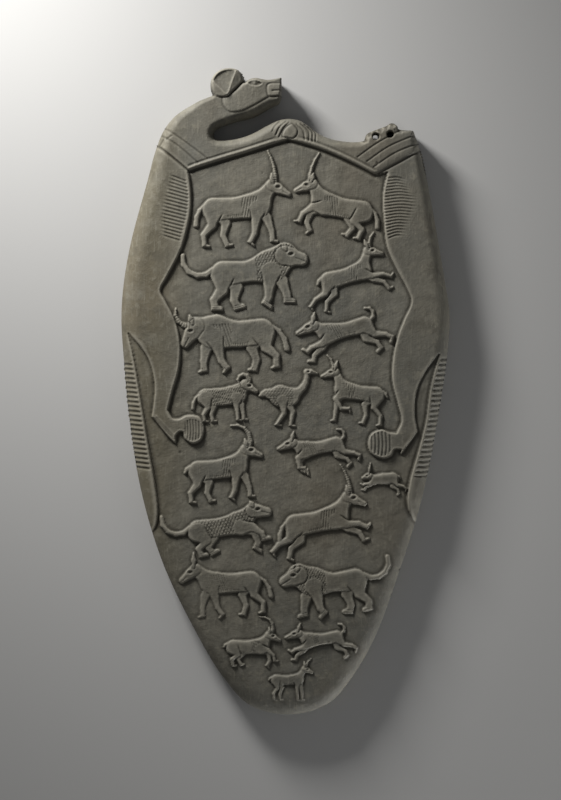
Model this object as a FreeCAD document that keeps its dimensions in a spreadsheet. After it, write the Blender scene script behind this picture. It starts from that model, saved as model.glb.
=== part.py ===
import FreeCAD, Part
import math
import os

Vector = FreeCAD.Vector

# Sizes
# Lengths in millimetres. The drawn outline is for a palette 216 wide and 425 high.
DRAWN_WIDTH = 216.0
DRAWN_HEIGHT = 425.0

SIZES = (
    ("palette_width", 216.0),
    ("palette_height", 425.0),
    ("palette_thickness", 20.0),
    ("field_depth", 2.0),
    ("figure_height", 1.6),
    ("front_edge_round", 8.0),
    ("back_edge_round", 6.5),
    ("head_rise", 0.7),
    ("ear_rise", 1.3),
    ("pad_rise", 0.5),
    ("carved_depth", 1.0),
    ("cord_hole_radius", 1.8),
    ("well_radius", 34.0),
    ("well_ring_width", 4.0),
    ("well_depth", 2.4),
    ("well_height_on_back", 40.0),
)

doc = FreeCAD.newDocument("palette")
sheet = doc.addObject("Spreadsheet::Sheet", "sizes")
for row, (name, value) in enumerate(SIZES, start=1):
    sheet.set("A%d" % row, name)
    sheet.set("B%d" % row, str(value))
    sheet.setAlias("B%d" % row, name)
doc.recompute()

SCALE_X = sheet.palette_width / DRAWN_WIDTH
SCALE_Y = sheet.palette_height / DRAWN_HEIGHT
FIGURE_SCALE = min(SCALE_X, SCALE_Y)

FLOOR = "sizes.palette_thickness - sizes.field_depth"
FRONT = "sizes.palette_thickness"
OVERSHOOT = 5.0

nodes = {}


def drawn(points):
    """Turn drawn points into vectors at the palette's own size."""
    return [Vector(x * SCALE_X, y * SCALE_Y, 0) for x, y in points]


def closed_outline(name, points):
    """A closed polygon through the drawn points."""
    outline = doc.addObject("Part::Polygon", name + "_outline")
    outline.Nodes = drawn(points)
    outline.Close = True
    return outline


def slab_of(name, outline, base, height):
    """A straight block over an outline, from the level base up by height."""
    block = doc.addObject("Part::Extrusion", name)
    block.Base = outline
    block.DirMode = "Custom"
    block.Dir = Vector(0, 0, 1)
    block.Solid = True
    block.setExpression("LengthFwd", height)
    block.setExpression("Placement.Base.z", base)
    return block


def block(name, points, base, height):
    return slab_of(name, closed_outline(name, points), base, height)


def combine(kind, name, base, tool):
    made = doc.addObject(kind, name)
    made.Base = base
    made.Tool = tool
    return made


def common(name, base, tool):
    return combine("Part::Common", name, base, tool)


def cut(name, base, tool):
    return combine("Part::Cut", name, base, tool)


def fuse(name, base, tool):
    return combine("Part::Fuse", name, base, tool)


def cylinder(name, x, y, base, radius, height):
    made = doc.addObject("Part::Cylinder", name)
    made.setExpression("Radius", radius)
    made.setExpression("Height", height)
    made.Placement.Base = Vector(x * SCALE_X, y * SCALE_Y, 0)
    made.setExpression("Placement.Base.z", base)
    return made


def crossing(first, second, height):
    """The drawn point where the line through two points crosses a height."""
    share = (height - first[1]) / (second[1] - first[1])
    return (first[0] + share * (second[0] - first[0]), height)


def reach(start, angle, length):
    """The point a length away from a start, at an angle in degrees."""
    turn = math.radians(angle)
    return (start[0] + length * math.cos(turn), start[1] + length * math.sin(turn))


def node(name, shape_object):
    shape_object.Label = name
    nodes[name] = shape_object


# Stone blank
# The rim runs from above the left neck, round the foot, to above the right neck.
RIM = (
    (-38.0, 200.0), (-56.6, 192.1), (-71.0, 184.2), (-79.8, 174.0), (-89.3, 144.9), (-101.8, 97.8),
    (-106.6, 70.0), (-108.0, 48.0), (-106.3, 20.0), (-102.4, -20.0), (-94.6, -67.1), (-80.2, -114.2),
    (-57.3, -161.3), (-41.0, -188.0), (-24.0, -206.0), (2.3, -212.5), (28.5, -205.0), (45.5, -185.3),
    (58.6, -162.0), (75.6, -116.0), (90.5, -67.1), (103.6, 3.6), (107.0, 30.0), (108.0, 50.0),
    (104.6, 74.3), (91.9, 144.9), (84.5, 172.0), (79.0, 186.0),
)


def tangent(before, here, after):
    """Direction at a point of the circle through three points."""
    arriving = here - before
    leaving = after - here
    return (arriving / arriving.dot(arriving) + leaving / leaving.dot(leaving)).normalize()


def arc(start, corner, end):
    """An arc between two points whose tangents meet at a corner."""
    middle = (start + end) / 2
    half_chord = start.distanceToPoint(end) / 2
    rise = corner.distanceToPoint(middle)
    sagitta = half_chord * math.tan(math.atan2(rise, half_chord) / 2)
    return Part.Arc(start, middle + (corner - middle) * (sagitta / rise), end)


def two_arcs(start, start_way, end, end_way):
    """Two arcs that meet smoothly and keep the directions at both ends."""
    span = end - start
    both = start_way + end_way
    spread = 2 * (1 - start_way.dot(end_way))
    reach_out = (math.sqrt(span.dot(both) ** 2 + spread * span.dot(span)) - span.dot(both)) / spread
    first_corner = start + start_way * reach_out
    second_corner = end - end_way * reach_out
    joint = (first_corner + second_corner) / 2
    return [arc(start, first_corner, joint), arc(joint, second_corner, end)]


rim_points = drawn(RIM)
ways = [tangent(*trio) for trio in zip(rim_points, rim_points[1:], rim_points[2:])]
ways = [(rim_points[1] - rim_points[0]).normalize()] + ways + [(rim_points[-1] - rim_points[-2]).normalize()]


def rim_wire(inset):
    """The rim moved inwards all along, closed by a straight line above the necks."""
    points = [point + Vector(-way.y, way.x, 0) * inset for point, way in zip(rim_points, ways)]
    edges = []
    for number in range(len(points) - 1):
        edges += two_arcs(points[number], ways[number], points[number + 1], ways[number + 1])
    edges.append(Part.LineSegment(points[-1], points[0]))
    return Part.Wire([edge.toShape() for edge in edges])


# Levels of the rounded edge: the angle round the edge gives the inset and the height
BACK_ANGLES = (90, 45, 0)
FRONT_ANGLES = (0, 28, 70, 90)
floor_angle = math.degrees(math.asin(1 - sheet.field_depth / sheet.front_edge_round))

levels = []
for angle in BACK_ANGLES:
    turn = math.radians(angle)
    inset = sheet.back_edge_round * (1 - math.cos(turn))
    levels.append((inset, "sizes.back_edge_round * %.6f" % (1 - math.sin(turn))))
for angle in sorted(FRONT_ANGLES + (floor_angle,)):
    turn = math.radians(angle)
    inset = sheet.front_edge_round * (1 - math.cos(turn))
    height = "sizes.palette_thickness - sizes.front_edge_round * %.9f" % (1 - math.sin(turn))
    levels.append((inset, height))

sections = []
for number, (inset, height) in enumerate(levels):
    section = doc.addObject("Part::Feature", "rim_section_%d" % number)
    section.Shape = rim_wire(inset)
    section.setExpression("Placement.Base.z", height)
    sections.append(section)
blank = doc.addObject("Part::Loft", "stone_blank")
blank.Sections = sections
blank.Solid = True
blank.Ruled = True
doc.recompute()

# Levels and planes where the carved parts meet
SHOULDER_Y = 151.5
BAR_Y = 165.2
NECK_X = -44.2
STUMP_X = 50.7
FAR = 125.0

# Slab: the shield below the necks, floor level of the relief field
slab_region = block(
    "slab_region",
    (
        (-FAR, -FAR * 2), (FAR, -FAR * 2), (FAR, SHOULDER_Y), (STUMP_X, SHOULDER_Y),
        (STUMP_X, BAR_Y), (NECK_X, BAR_Y), (NECK_X, SHOULDER_Y), (-FAR, SHOULDER_Y),
    ),
    "0 * sizes.field_depth",
    FLOOR,
)
slab_blank = common("slab_blank", blank, slab_region)
WELL_X = 0.0
well_pocket = cylinder(
    "well_pocket", WELL_X, 0.0, "0 * sizes.field_depth",
    "sizes.well_radius + sizes.well_ring_width", "sizes.well_depth",
)
well_pocket.setExpression("Placement.Base.y", "sizes.well_height_on_back")
node("stone_slab", cut("stone_slab", slab_blank, well_pocket))

# Grinding well ring on the back, flush with the back face
ring_inside = cylinder(
    "well_inside", WELL_X, 0.0, "0 * sizes.field_depth", "sizes.well_radius", "sizes.well_depth",
)
ring_inside.setExpression("Placement.Base.y", "sizes.well_height_on_back")
ring_blank = cylinder(
    "well_ring_blank", WELL_X, 0.0, "0 * sizes.field_depth",
    "sizes.well_radius + sizes.well_ring_width", "sizes.well_depth",
)
ring_blank.setExpression("Placement.Base.y", "sizes.well_height_on_back")
node("grinding_well_ring", cut("grinding_well_ring", ring_blank, ring_inside))

# Collars: bands over the shoulders, let into the front
LEFT_COLLAR = ((-93.0, 181.5), (-50.7, 152.5), (-56.6, 148.8), (-63.1, 144.6), (-93.0, 167.4))
RIGHT_COLLAR = (
    (50.7, 154.0), (88.0, 177.6), (104.0, 168.4), (59.9, 141.1), (57.9, 147.0), (50.7, SHOULDER_Y),
)


def front_skin(name, points):
    """A carved layer from the field floor to the front face, trimmed to the rounded edge."""
    region = block(name + "_region", points, FLOOR, "sizes.field_depth")
    return common(name, blank, region)


left_collar = front_skin("left_collar", LEFT_COLLAR)
right_collar = front_skin("right_collar", RIGHT_COLLAR)

# Left neck, whole, running into the head
NECK_CUT = ((-58.5, 191.3), (-41.5, 175.0))
left_neck_region = block(
    "left_neck_region",
    (
        (-FAR, SHOULDER_Y), (NECK_X, SHOULDER_Y), (NECK_X, BAR_Y), (-46.1, 167.2), (-46.8, 170.4),
        (-45.5, 173.1), NECK_CUT[1], crossing(NECK_CUT[1], NECK_CUT[0], 200.0), (-FAR, 200.0),
    ),
    "0 * sizes.field_depth",
    FRONT,
)
left_neck_blank = common("left_neck_blank", blank, left_neck_region)
node("left_hound_neck", cut("left_hound_neck", left_neck_blank, left_collar))
node("left_collar", left_collar)

# Right neck, broken off above the shoulder, with its two cord holes
BREAK = (
    (50.7, 165.2), (52.2, 166.2), (53.3, 169.1), (57.9, 171.4), (65.8, 174.4), (69.7, 176.5),
    (73.6, 174.4), (74.3, 172.4), (77.5, 171.8), (84.1, 170.9),
)
CORD_HOLES = ((59.2, 167.0), (68.6, 168.4))
right_neck_region = block(
    "right_neck_region",
    ((FAR, SHOULDER_Y), (FAR, 164.0), (84.9, 169.0)) + BREAK[::-1] + ((STUMP_X, SHOULDER_Y),),
    "0 * sizes.field_depth",
    FRONT,
)
stump = common("stump_blank", blank, right_neck_region)
stump = cut("stump_less_collar", stump, right_collar)
for side, (x, y) in zip(("inner", "outer"), CORD_HOLES):
    hole = cylinder(side + "_cord_hole", x, y, "0 * sizes.field_depth", "sizes.cord_hole_radius", FRONT)
    stump = cut("stump_with_%s_hole" % side, stump, hole)
node("right_neck_stump", stump)
node("right_collar", right_collar)

# Head: a plate with the raised cheek and ear
HEAD = (
    NECK_CUT[0], (-53.0, 194.0), (-49.4, 196.6), (-50.2, 200.0), (-49.7, 203.8),
    (-48.1, 207.8), (-45.5, 210.6), (-41.6, 212.1), (-36.3, 212.5), (-31.1, 211.5), (-27.8, 208.4),
    (-26.8, 204.6), (-23.2, 205.9), (-19.3, 206.5), (-14.7, 205.9), (-10.1, 204.9), (-6.2, 205.6),
    (-2.9, 206.1), (-2.6, 200.0), (-2.6, 191.0), (-4.6, 189.2), (-8.8, 187.8), (-12.1, 185.5),
    (-17.3, 182.9), (-24.5, 180.3), (-33.0, 177.6), NECK_CUT[1],
)
CHEEK = (
    (-42.5, 194.0), (-41.6, 190.7), (-39.6, 186.2), (-36.0, 183.2), (-29.8, 184.8), (-21.9, 188.1),
    (-12.8, 192.0), (-4.6, 190.2), (-2.6, 191.0), (-2.6, 200.0), (-2.9, 206.1), (-6.2, 205.6),
    (-10.1, 204.9), (-14.7, 205.9), (-19.3, 206.5), (-23.2, 205.9), (-26.8, 204.6), (-33.0, 199.0),
)
EAR = (
    (-49.4, 196.6), (-50.2, 200.0), (-49.7, 203.8), (-48.1, 207.8), (-45.5, 210.6), (-41.6, 212.1),
    (-36.3, 212.5), (-31.1, 211.5), (-27.8, 208.4), (-26.8, 204.6), (-29.8, 199.2), (-34.4, 195.3),
    (-38.6, 193.6), (-44.8, 194.3),
)
EAR_HOLLOW = ((-47.5, 202.5), (-45.2, 207.4), (-40.0, 210.0), (-33.6, 210.0), (-38.9, 195.8))
EYE = ((-24.9, 201.1), (-23.2, 202.5), (-20.6, 203.3), (-18.0, 202.4), (-16.7, 201.2), (-20.6, 200.2))
MOUTH = ((-9.2, 196.7), (-9.2, 197.4), (-1.0, 197.4), (-1.0, 196.7))

head_plate = block(
    "head_plate", HEAD, "0 * sizes.field_depth", "sizes.palette_thickness - sizes.pad_rise",
)
cheek = block(
    "cheek", CHEEK, "sizes.palette_thickness - sizes.pad_rise", "sizes.pad_rise + sizes.head_rise",
)
head = fuse("head_with_cheek", head_plate, cheek)
carved_from = "sizes.palette_thickness + sizes.head_rise - sizes.carved_depth"
for name, points in (("eye", EYE), ("mouth", MOUTH)):
    pocket = block(name + "_pocket", points, carved_from, "2 * sizes.carved_depth")
    head = cut("head_with_" + name, head, pocket)
ear_region = block(
    "ear_region", EAR, "sizes.palette_thickness - sizes.pad_rise",
    "sizes.pad_rise + sizes.head_rise + sizes.ear_rise",
)
node("left_hound_head", cut("head_less_ear", head, ear_region))
ear_hollow = block(
    "ear_hollow", EAR_HOLLOW, "sizes.palette_thickness + sizes.head_rise", "2 * sizes.ear_rise",
)
node("left_hound_ear", cut("left_hound_ear", ear_region, ear_hollow))

# Forelegs: a raised bar on each side of the joined forepaws
CHEVRON_TOP = (3.0, 163.4)
node("left_hound_foreleg", front_skin(
    "left_hound_foreleg",
    (
        (NECK_X, BAR_Y), (2.3, BAR_Y), CHEVRON_TOP, (-8.0, 161.2), (-25.8, 156.1), (-45.0, 150.9),
        (-62.0, 145.3), LEFT_COLLAR[2], crossing(LEFT_COLLAR[1], LEFT_COLLAR[2], SHOULDER_Y),
        (NECK_X, SHOULDER_Y),
    ),
))
node("right_hound_foreleg", front_skin(
    "right_hound_foreleg",
    (
        (2.3, BAR_Y), (STUMP_X, BAR_Y), RIGHT_COLLAR[0], RIGHT_COLLAR[5], RIGHT_COLLAR[4],
        (59.0, 142.2), (40.0, 149.4), (16.0, 159.4), CHEVRON_TOP,
    ),
))

# Joined forepaws over the middle of the bar
PAD_LEFT = -2.9
PAD_RIGHT = 7.2
node("left_forepaw", block(
    "left_forepaw",
    (
        (-36.3, BAR_Y), (-29.8, 167.2), (-22.6, 169.8), (-17.0, 172.4), (-13.0, 175.0), (-9.5, 177.4),
        (-5.0, 178.9), (PAD_LEFT, 179.2), (PAD_LEFT, BAR_Y),
    ),
    "0 * sizes.field_depth",
    FRONT,
))
node("right_forepaw", block(
    "right_forepaw",
    (
        (PAD_RIGHT, BAR_Y), (PAD_RIGHT, 179.2), (10.8, 178.7), (14.7, 176.3), (18.0, 173.7),
        (21.9, 171.1), (27.2, 168.5), (34.0, 166.1), (39.6, BAR_Y),
    ),
    "0 * sizes.field_depth",
    FRONT,
))
node("forepaw_pad", block(
    "forepaw_pad",
    ((PAD_LEFT, BAR_Y), (PAD_LEFT, 179.2), (2.3, 179.5), (PAD_RIGHT, 179.2), (PAD_RIGHT, BAR_Y)),
    "0 * sizes.field_depth",
    "sizes.palette_thickness + sizes.pad_rise",
))

# Flanks, haunches, hind paws and tails of the two hounds
WAIST_Y = 65.0
node("left_hound_flank", front_skin(
    "left_hound_flank",
    (
        crossing(LEFT_COLLAR[3], LEFT_COLLAR[4], SHOULDER_Y), LEFT_COLLAR[3], (-63.8, 137.1),
        (-62.2, 128.6), (-63.1, 115.5), (-67.7, 97.2), (-73.0, 84.7), (-78.2, 74.3), (-81.6, WAIST_Y),
        (-FAR, WAIST_Y), (-FAR, SHOULDER_Y),
    ),
))
node("right_hound_flank", front_skin(
    "right_hound_flank",
    (
        crossing(RIGHT_COLLAR[3], RIGHT_COLLAR[2], SHOULDER_Y), RIGHT_COLLAR[3], (67.7, 140.8),
        (63.8, 130.5), (64.5, 110.3), (66.4, 94.6), (72.3, 80.8), (79.5, 67.1), (80.6, WAIST_Y),
        (FAR, WAIST_Y), (FAR, SHOULDER_Y),
    ),
))
LEFT_TAIL_LINE = (
    (-101.4, 29.8), (-95.2, -7.5), (-88.7, -38.9), (-85.4, -58.6), (-84.1, -72.3), (-85.4, -87.4),
)
RIGHT_TAIL_LINE = (
    (100.4, 24.5), (94.6, 0.3), (92.0, -15.4), (87.4, -35.0), (82.1, -57.3), (80.2, -73.0),
)
GROOVE = 1.2
TAIL_ROOT_Y = 28.0
node("left_hound_haunch", front_skin(
    "left_hound_haunch",
    (
        (-FAR, WAIST_Y), (-81.6, WAIST_Y), (-79.2, 61.2), (-72.0, 44.8), (-69.7, 38.0), (-69.0, 27.2),
        (-71.2, 12.8), (-75.2, -3.6), (-76.2, -14.0), (-84.5, -18.6), (-88.0, -28.0),
        (-95.2 + GROOVE, -7.5), (-101.0 + GROOVE, TAIL_ROOT_Y), (-FAR, TAIL_ROOT_Y),
    ),
))
node("right_hound_haunch", front_skin(
    "right_hound_haunch",
    (
        (FAR, WAIST_Y), (80.6, WAIST_Y), (82.4, 58.9), (77.3, 46.8), (73.6, 37.0), (70.1, 25.8),
        (69.7, 8.8), (72.3, -4.3), (75.6, -16.7), (73.6, -24.4), (84.0, -28.0), (86.5, -29.0),
        (92.0 - GROOVE, -15.4), (94.6 - GROOVE, 0.3), (100.0 - GROOVE, TAIL_ROOT_Y), (FAR, TAIL_ROOT_Y),
    ),
))
node("left_hound_tail", front_skin(
    "left_hound_tail",
    ((-FAR, TAIL_ROOT_Y - GROOVE), (-101.0, TAIL_ROOT_Y - GROOVE)) + LEFT_TAIL_LINE[1:] + ((-FAR, -87.4),),
))
node("right_hound_tail", front_skin(
    "right_hound_tail",
    ((FAR, TAIL_ROOT_Y - GROOVE), (100.5, TAIL_ROOT_Y - GROOVE)) + RIGHT_TAIL_LINE[1:] + ((FAR, -73.0),),
))


PAW_SIDES = 20


def hind_paw(name, ankle_points, x, y, radius):
    ankle = front_skin(name + "_ankle", ankle_points)
    bundle = [reach((x, y), 360 * number / PAW_SIDES, radius) for number in range(PAW_SIDES)]
    toes = block(name + "_toes", bundle, FLOOR, "sizes.field_depth")
    node(name, fuse(name, ankle, toes))


hind_paw(
    "left_hind_paw",
    ((-76.2, -14.0), (-84.5, -18.6), (-73.5, -34.0), (-65.0, -32.0), (-65.0, -18.4), (-72.5, -18.2)),
    -61.4, -25.4, 7.8,
)
hind_paw(
    "right_hind_paw",
    ((73.6, -24.4), (84.0, -28.0), (75.6, -42.0), (68.0, -41.0), (66.0, -26.2)),
    63.9, -33.6, 9.2,
)

# Animals of the relief field
# Lengths are shares of the distance from hip to shoulder, radii follow each row of joints.
ANIMALS = {
    "oryx": dict(
        torso=(0.28, 0.25, 0.31), rise=0.04, neck=(0.46, 50, 0.22, 0.135), head=(0.44, -32, 0.135, 0.062),
        hind=(0.30, 0.30, 0.26), front=(0.24, 0.30, 0.24), leg=(0.19, 0.092, 0.062),
        foot="hoof", horn="oryx", ear=0.20, tail="switch",
    ),
    "gazelle": dict(
        torso=(0.27, 0.225, 0.285), rise=0.03, neck=(0.50, 58, 0.175, 0.115), head=(0.42, -28, 0.130, 0.060),
        hind=(0.33, 0.33, 0.28), front=(0.26, 0.33, 0.26), leg=(0.175, 0.084, 0.056),
        foot="hoof", horn="gazelle", ear=0.26, tail="short",
    ),
    "ibex": dict(
        torso=(0.28, 0.25, 0.30), rise=0.04, neck=(0.40, 54, 0.21, 0.145), head=(0.42, -28, 0.14, 0.068),
        hind=(0.29, 0.29, 0.25), front=(0.23, 0.29, 0.23), leg=(0.19, 0.092, 0.064),
        foot="hoof", horn="ibex", ear=0.20, tail="short",
    ),
    "ram": dict(
        torso=(0.30, 0.29, 0.32), rise=0.03, neck=(0.34, 46, 0.25, 0.17), head=(0.42, -36, 0.15, 0.075),
        hind=(0.27, 0.28, 0.23), front=(0.22, 0.27, 0.22), leg=(0.19, 0.092, 0.068),
        foot="hoof", horn="ram", ear=0.0, tail="switch",
    ),
    "bull": dict(
        torso=(0.29, 0.28, 0.36), rise=0.08, neck=(0.30, 24, 0.29, 0.20), head=(0.44, -52, 0.18, 0.10),
        hind=(0.28, 0.28, 0.23), front=(0.23, 0.27, 0.21), leg=(0.20, 0.105, 0.074),
        foot="hoof", horn="bull", ear=0.18, tail="tuft",
    ),
    "ass": dict(
        torso=(0.28, 0.25, 0.30), rise=0.03, neck=(0.44, 44, 0.22, 0.155), head=(0.46, -34, 0.15, 0.085),
        hind=(0.29, 0.30, 0.25), front=(0.24, 0.29, 0.23), leg=(0.185, 0.092, 0.064),
        foot="hoof", horn="none", ear=0.36, tail="tuft",
    ),
    "lion": dict(
        torso=(0.28, 0.225, 0.34), rise=0.05, neck=(0.28, 32, 0.32, 0.28), head=(0.36, -18, 0.215, 0.145),
        hind=(0.28, 0.28, 0.19), front=(0.24, 0.28, 0.17), leg=(0.21, 0.115, 0.088),
        foot="paw", horn="none", ear=0.14, tail="long",
    ),
    "leopard": dict(
        torso=(0.26, 0.215, 0.27), rise=0.02, neck=(0.30, 36, 0.22, 0.175), head=(0.34, -16, 0.17, 0.115),
        hind=(0.27, 0.28, 0.19), front=(0.24, 0.27, 0.17), leg=(0.185, 0.098, 0.076),
        foot="paw", horn="none", ear=0.13, tail="long",
    ),
    "hound": dict(
        torso=(0.235, 0.195, 0.27), rise=0.02, neck=(0.34, 42, 0.185, 0.145), head=(0.46, -12, 0.145, 0.072),
        hind=(0.29, 0.31, 0.21), front=(0.26, 0.30, 0.18), leg=(0.17, 0.088, 0.066),
        foot="paw", horn="none", ear=0.28, tail="curl",
    ),
    "hare": dict(
        torso=(0.33, 0.29, 0.25), rise=-0.05, neck=(0.20, 40, 0.19, 0.16), head=(0.36, -20, 0.17, 0.09),
        hind=(0.32, 0.36, 0.24), front=(0.22, 0.26, 0.16), leg=(0.20, 0.10, 0.075),
        foot="paw", horn="none", ear=0.60, tail="short",
    ),
}

# Joint angles from straight down, forwards positive: near hind, far hind, near front, far front
GAITS = {
    "walk": ((-8, -44, 2), (34, -16, 20), (-14, -10, -30), (34, 16, 2)),
    "stand": ((14, -34, 6), (34, -20, 10), (-6, 4, 0), (18, 8, 4)),
    "gallop": ((-34, -74, -50), (-6, -58, -20), (64, 84, 58), (42, 58, 24)),
    "leap": ((-34, -70, -54), (-8, -58, -26), (70, 6, -70), (44, -8, -78)),
    "spring": ((42, -54, 14), (62, -36, 30), (84, 48, 16), (60, 10, -30)),
    "turn": ((6, -46, -4), (40, -14, 14), (44, -36, -96), (14, 2, 0)),
}

# Horns and tails: first angle, turn along the curve, length, steps, radius at the root and at the tip
HORNS = {
    "oryx": (24, 34, 0.78, 4, 0.052, 0.020),
    "gazelle": (30, -62, 0.50, 3, 0.058, 0.024),
    "ibex": (-4, 132, 0.92, 5, 0.072, 0.024),
    "ram": (-4, 256, 0.78, 6, 0.092, 0.036),
    "bull": (-44, 120, 0.58, 4, 0.070, 0.022),
}
TAILS = {
    "short": (190, 60, 0.20, 2, 0.070, 0.040),
    "switch": (215, 55, 0.52, 3, 0.042, 0.062),
    "tuft": (212, 58, 0.62, 3, 0.040, 0.064),
    "long": (225, -150, 0.95, 5, 0.060, 0.052),
    "curl": (165, -170, 0.50, 4, 0.054, 0.034),
}

# Name, kind, gait, length from hip to shoulder, middle of the body, slope of the back, facing left
RELIEF = (
    ("left_oryx", "oryx", "walk", 28.5, (-32.5, 120.0), 4, False),
    ("right_oryx", "oryx", "spring", 26.0, (37.5, 120.0), 10, True),
    ("upper_lion", "lion", "walk", 31.0, (-25.0, 78.5), 6, False),
    ("upper_gazelle", "gazelle", "gallop", 22.5, (39.5, 75.5), 16, False),
    ("wild_bull", "bull", "walk", 31.0, (-31.0, 37.5), -5, True),
    ("running_hound", "hound", "gallop", 24.5, (40.0, 40.5), -14, True),
    ("ram", "ram", "stand", 20.0, (-42.0, -3.5), 4, False),
    ("ostrich", "bird", "stand", 23.5, (-0.5, -3.0), 0, False),
    ("doe", "gazelle", "turn", 21.5, (48.5, -1.0), 8, True),
    ("ibex", "ibex", "walk", 25.0, (-44.5, -51.0), 6, False),
    ("leaping_hound", "hound", "leap", 21.0, (23.0, -36.5), -12, True),
    ("leopard", "leopard", "spring", 28.0, (-43.0, -89.0), 10, False),
    ("middle_oryx", "oryx", "gallop", 27.0, (20.0, -85.5), 10, False),
    ("hare", "hare", "gallop", 12.5, (64.0, -57.0), 0, True),
    ("wild_ass", "ass", "walk", 25.5, (-35.5, -125.5), -4, True),
    ("lower_lion", "lion", "walk", 27.5, (32.0, -125.0), -6, True),
    ("lower_ibex", "ibex", "spring", 18.0, (-25.0, -167.5), 0, False),
    ("lower_hound", "hound", "gallop", 18.5, (24.5, -162.0), -8, True),
    ("fawn", "gazelle", "stand", 14.0, (1.0, -189.0), 0, False),
)


def bow(start, angle, turn, length, steps, first, last):
    """A curved row of joints whose radius runs from first to last."""
    x, y = start
    row = [(x, y, first)]
    for number in range(steps):
        x, y = reach((x, y), angle + turn * (number + 0.5) / steps, length / steps)
        row.append((x, y, first + (last - first) * (number + 1) / steps))
    return row


def leg(start, lengths, angles, top, radii, hoofed):
    """Rows of joints for one leg and its foot."""
    row = [start + (top,)]
    joint = start
    for length, angle, radius in zip(lengths, angles, (radii[1] * 1.15, radii[1] * 0.74, radii[2])):
        joint = reach(joint, angle - 90, length)
        row.append(joint + (radius,))
    toe = reach(joint, angles[2] - 10, 0.10)
    foot = [joint + (radii[2],), toe + (0.034 if hoofed else 0.074,)]
    return [row, foot]


def beast(kind, gait):
    """Rows of joints of an animal facing +X, one unit from hip to shoulder."""
    shape = ANIMALS[kind]
    hip = (-0.5, 0.0)
    shoulder = (0.5, shape["rise"])
    hip_radius, waist_radius, shoulder_radius = shape["torso"]
    rows = [[hip + (hip_radius,), (0.0, 0.0, waist_radius), shoulder + (shoulder_radius,)]]

    length, angle, root_radius, poll_radius = shape["neck"]
    root = reach(shoulder, angle, 0.10)
    poll = reach(root, angle, length)
    chest = (shoulder[0], shoulder[1] + 0.02, min(root_radius * 1.3, shoulder_radius))
    rows.append([chest, root + (root_radius,), poll + (poll_radius,)])

    length, angle, brow_radius, muzzle_radius = shape["head"]
    rows.append([
        poll + (brow_radius,),
        reach(poll, angle, length * 0.38) + (brow_radius * 0.9,),
        reach(poll, angle, length) + (muzzle_radius,),
    ])
    up = angle + 90
    crown = reach(poll, up, brow_radius * 0.55)
    if shape["ear"]:
        ear_angle = up + (30 if kind == "hare" else 38)
        middle = reach(crown, ear_angle, shape["ear"] / 2)
        tip = reach(crown, ear_angle, shape["ear"])
        rows.append([crown + (0.040,), middle + (0.062,), tip + (0.024,)])
    if shape["horn"] in HORNS:
        first, turn, horn_length, steps, thick, thin = HORNS[shape["horn"]]
        horn_root = reach(crown, angle, length * 0.12)
        rows.append(bow(horn_root, up + first, turn, horn_length, steps, thick, thin))

    first, turn, tail_length, steps, thick, thin = TAILS[shape["tail"]]
    rows.append(bow(reach(hip, 150, hip_radius * 0.86), first, turn, tail_length, steps, thick, thin))

    hoofed = shape["foot"] == "hoof"
    top = shape["leg"][0]
    hind = (hip[0] - 0.03, hip[1] - 0.05)
    front = (shoulder[0], shoulder[1] - 0.12)
    near_hind, far_hind, near_front, far_front = GAITS[gait]
    far_hip = (hind[0] + 0.11, hind[1] - 0.02)
    far_shoulder = (front[0] + 0.07, front[1] - 0.01)
    rows += leg(far_hip, shape["hind"], far_hind, top, shape["leg"], hoofed)
    rows += leg(far_shoulder, shape["front"], far_front, top * 0.85, shape["leg"], hoofed)
    rows += leg(hind, shape["hind"], near_hind, top * 1.25, shape["leg"], hoofed)
    rows += leg(front, shape["front"], near_front, top, shape["leg"], hoofed)
    return rows


def bird():
    """Rows of joints of an ostrich facing +X."""
    neck = bow((0.26, 0.06), 20, 80, 0.76, 5, 0.125, 0.062)
    x, y = neck[-1][:2]
    rows = [
        [(-0.44, 0.06, 0.14), (-0.12, 0.0, 0.31), (0.16, -0.02, 0.26)],
        neck,
        [(x, y, 0.085), (x + 0.12, y + 0.01, 0.072), (x + 0.30, y - 0.04, 0.026)],
        bow((-0.42, 0.08), 170, 50, 0.28, 3, 0.14, 0.05),
    ]
    for hip_x, thigh, shank in ((0.06, 30, -10), (-0.06, 8, -34)):
        knee = reach((hip_x, -0.14), thigh - 90, 0.34)
        ankle = reach(knee, shank - 90, 0.40)
        toe = reach(ankle, -6, 0.13)
        rows.append([(hip_x, -0.14, 0.15), knee + (0.070,), ankle + (0.048,)])
        rows.append([ankle + (0.048,), toe + (0.030,)])
    return rows


# Joints wider than this are drawn rounder, and corners that stray less than this are left out
BROAD_JOINT = 3.2
LEAST_STRAY = 0.2


def limb_face(first, second):
    """A flat face round two joints: two arcs joined by their common tangents."""
    distance = math.hypot(second[0] - first[0], second[1] - first[1])
    heading = math.atan2(second[1] - first[1], second[0] - first[0])
    lean = math.acos(max(-1.0, min(1.0, (first[2] - second[2]) / max(distance, 0.001))))
    corners = []
    for joint, start, stop in (
        (second, heading - lean, heading + lean),
        (first, heading + lean, heading + 2 * math.pi - lean),
    ):
        steps = 4 if joint[2] > BROAD_JOINT else 2
        for number in range(steps + 1):
            angle = start + (stop - start) * number / steps
            x, y = reach(joint[:2], math.degrees(angle), joint[2])
            corners.append(Vector(x, y, 0))
    return Part.Face(Part.makePolygon(corners + corners[:1]))


def simpler(wire):
    """The same closed wire without the corners that stray hardly at all from a straight edge."""
    corners = [vertex.Point for vertex in wire.OrderedVertexes]
    number = 0
    while number < len(corners):
        before, here, after = corners[number - 1], corners[number], corners[(number + 1) % len(corners)]
        if here.distanceToLine(before, after - before) < LEAST_STRAY:
            corners.pop(number)
        else:
            number += 1
    return Part.makePolygon(corners + corners[:1])


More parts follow.
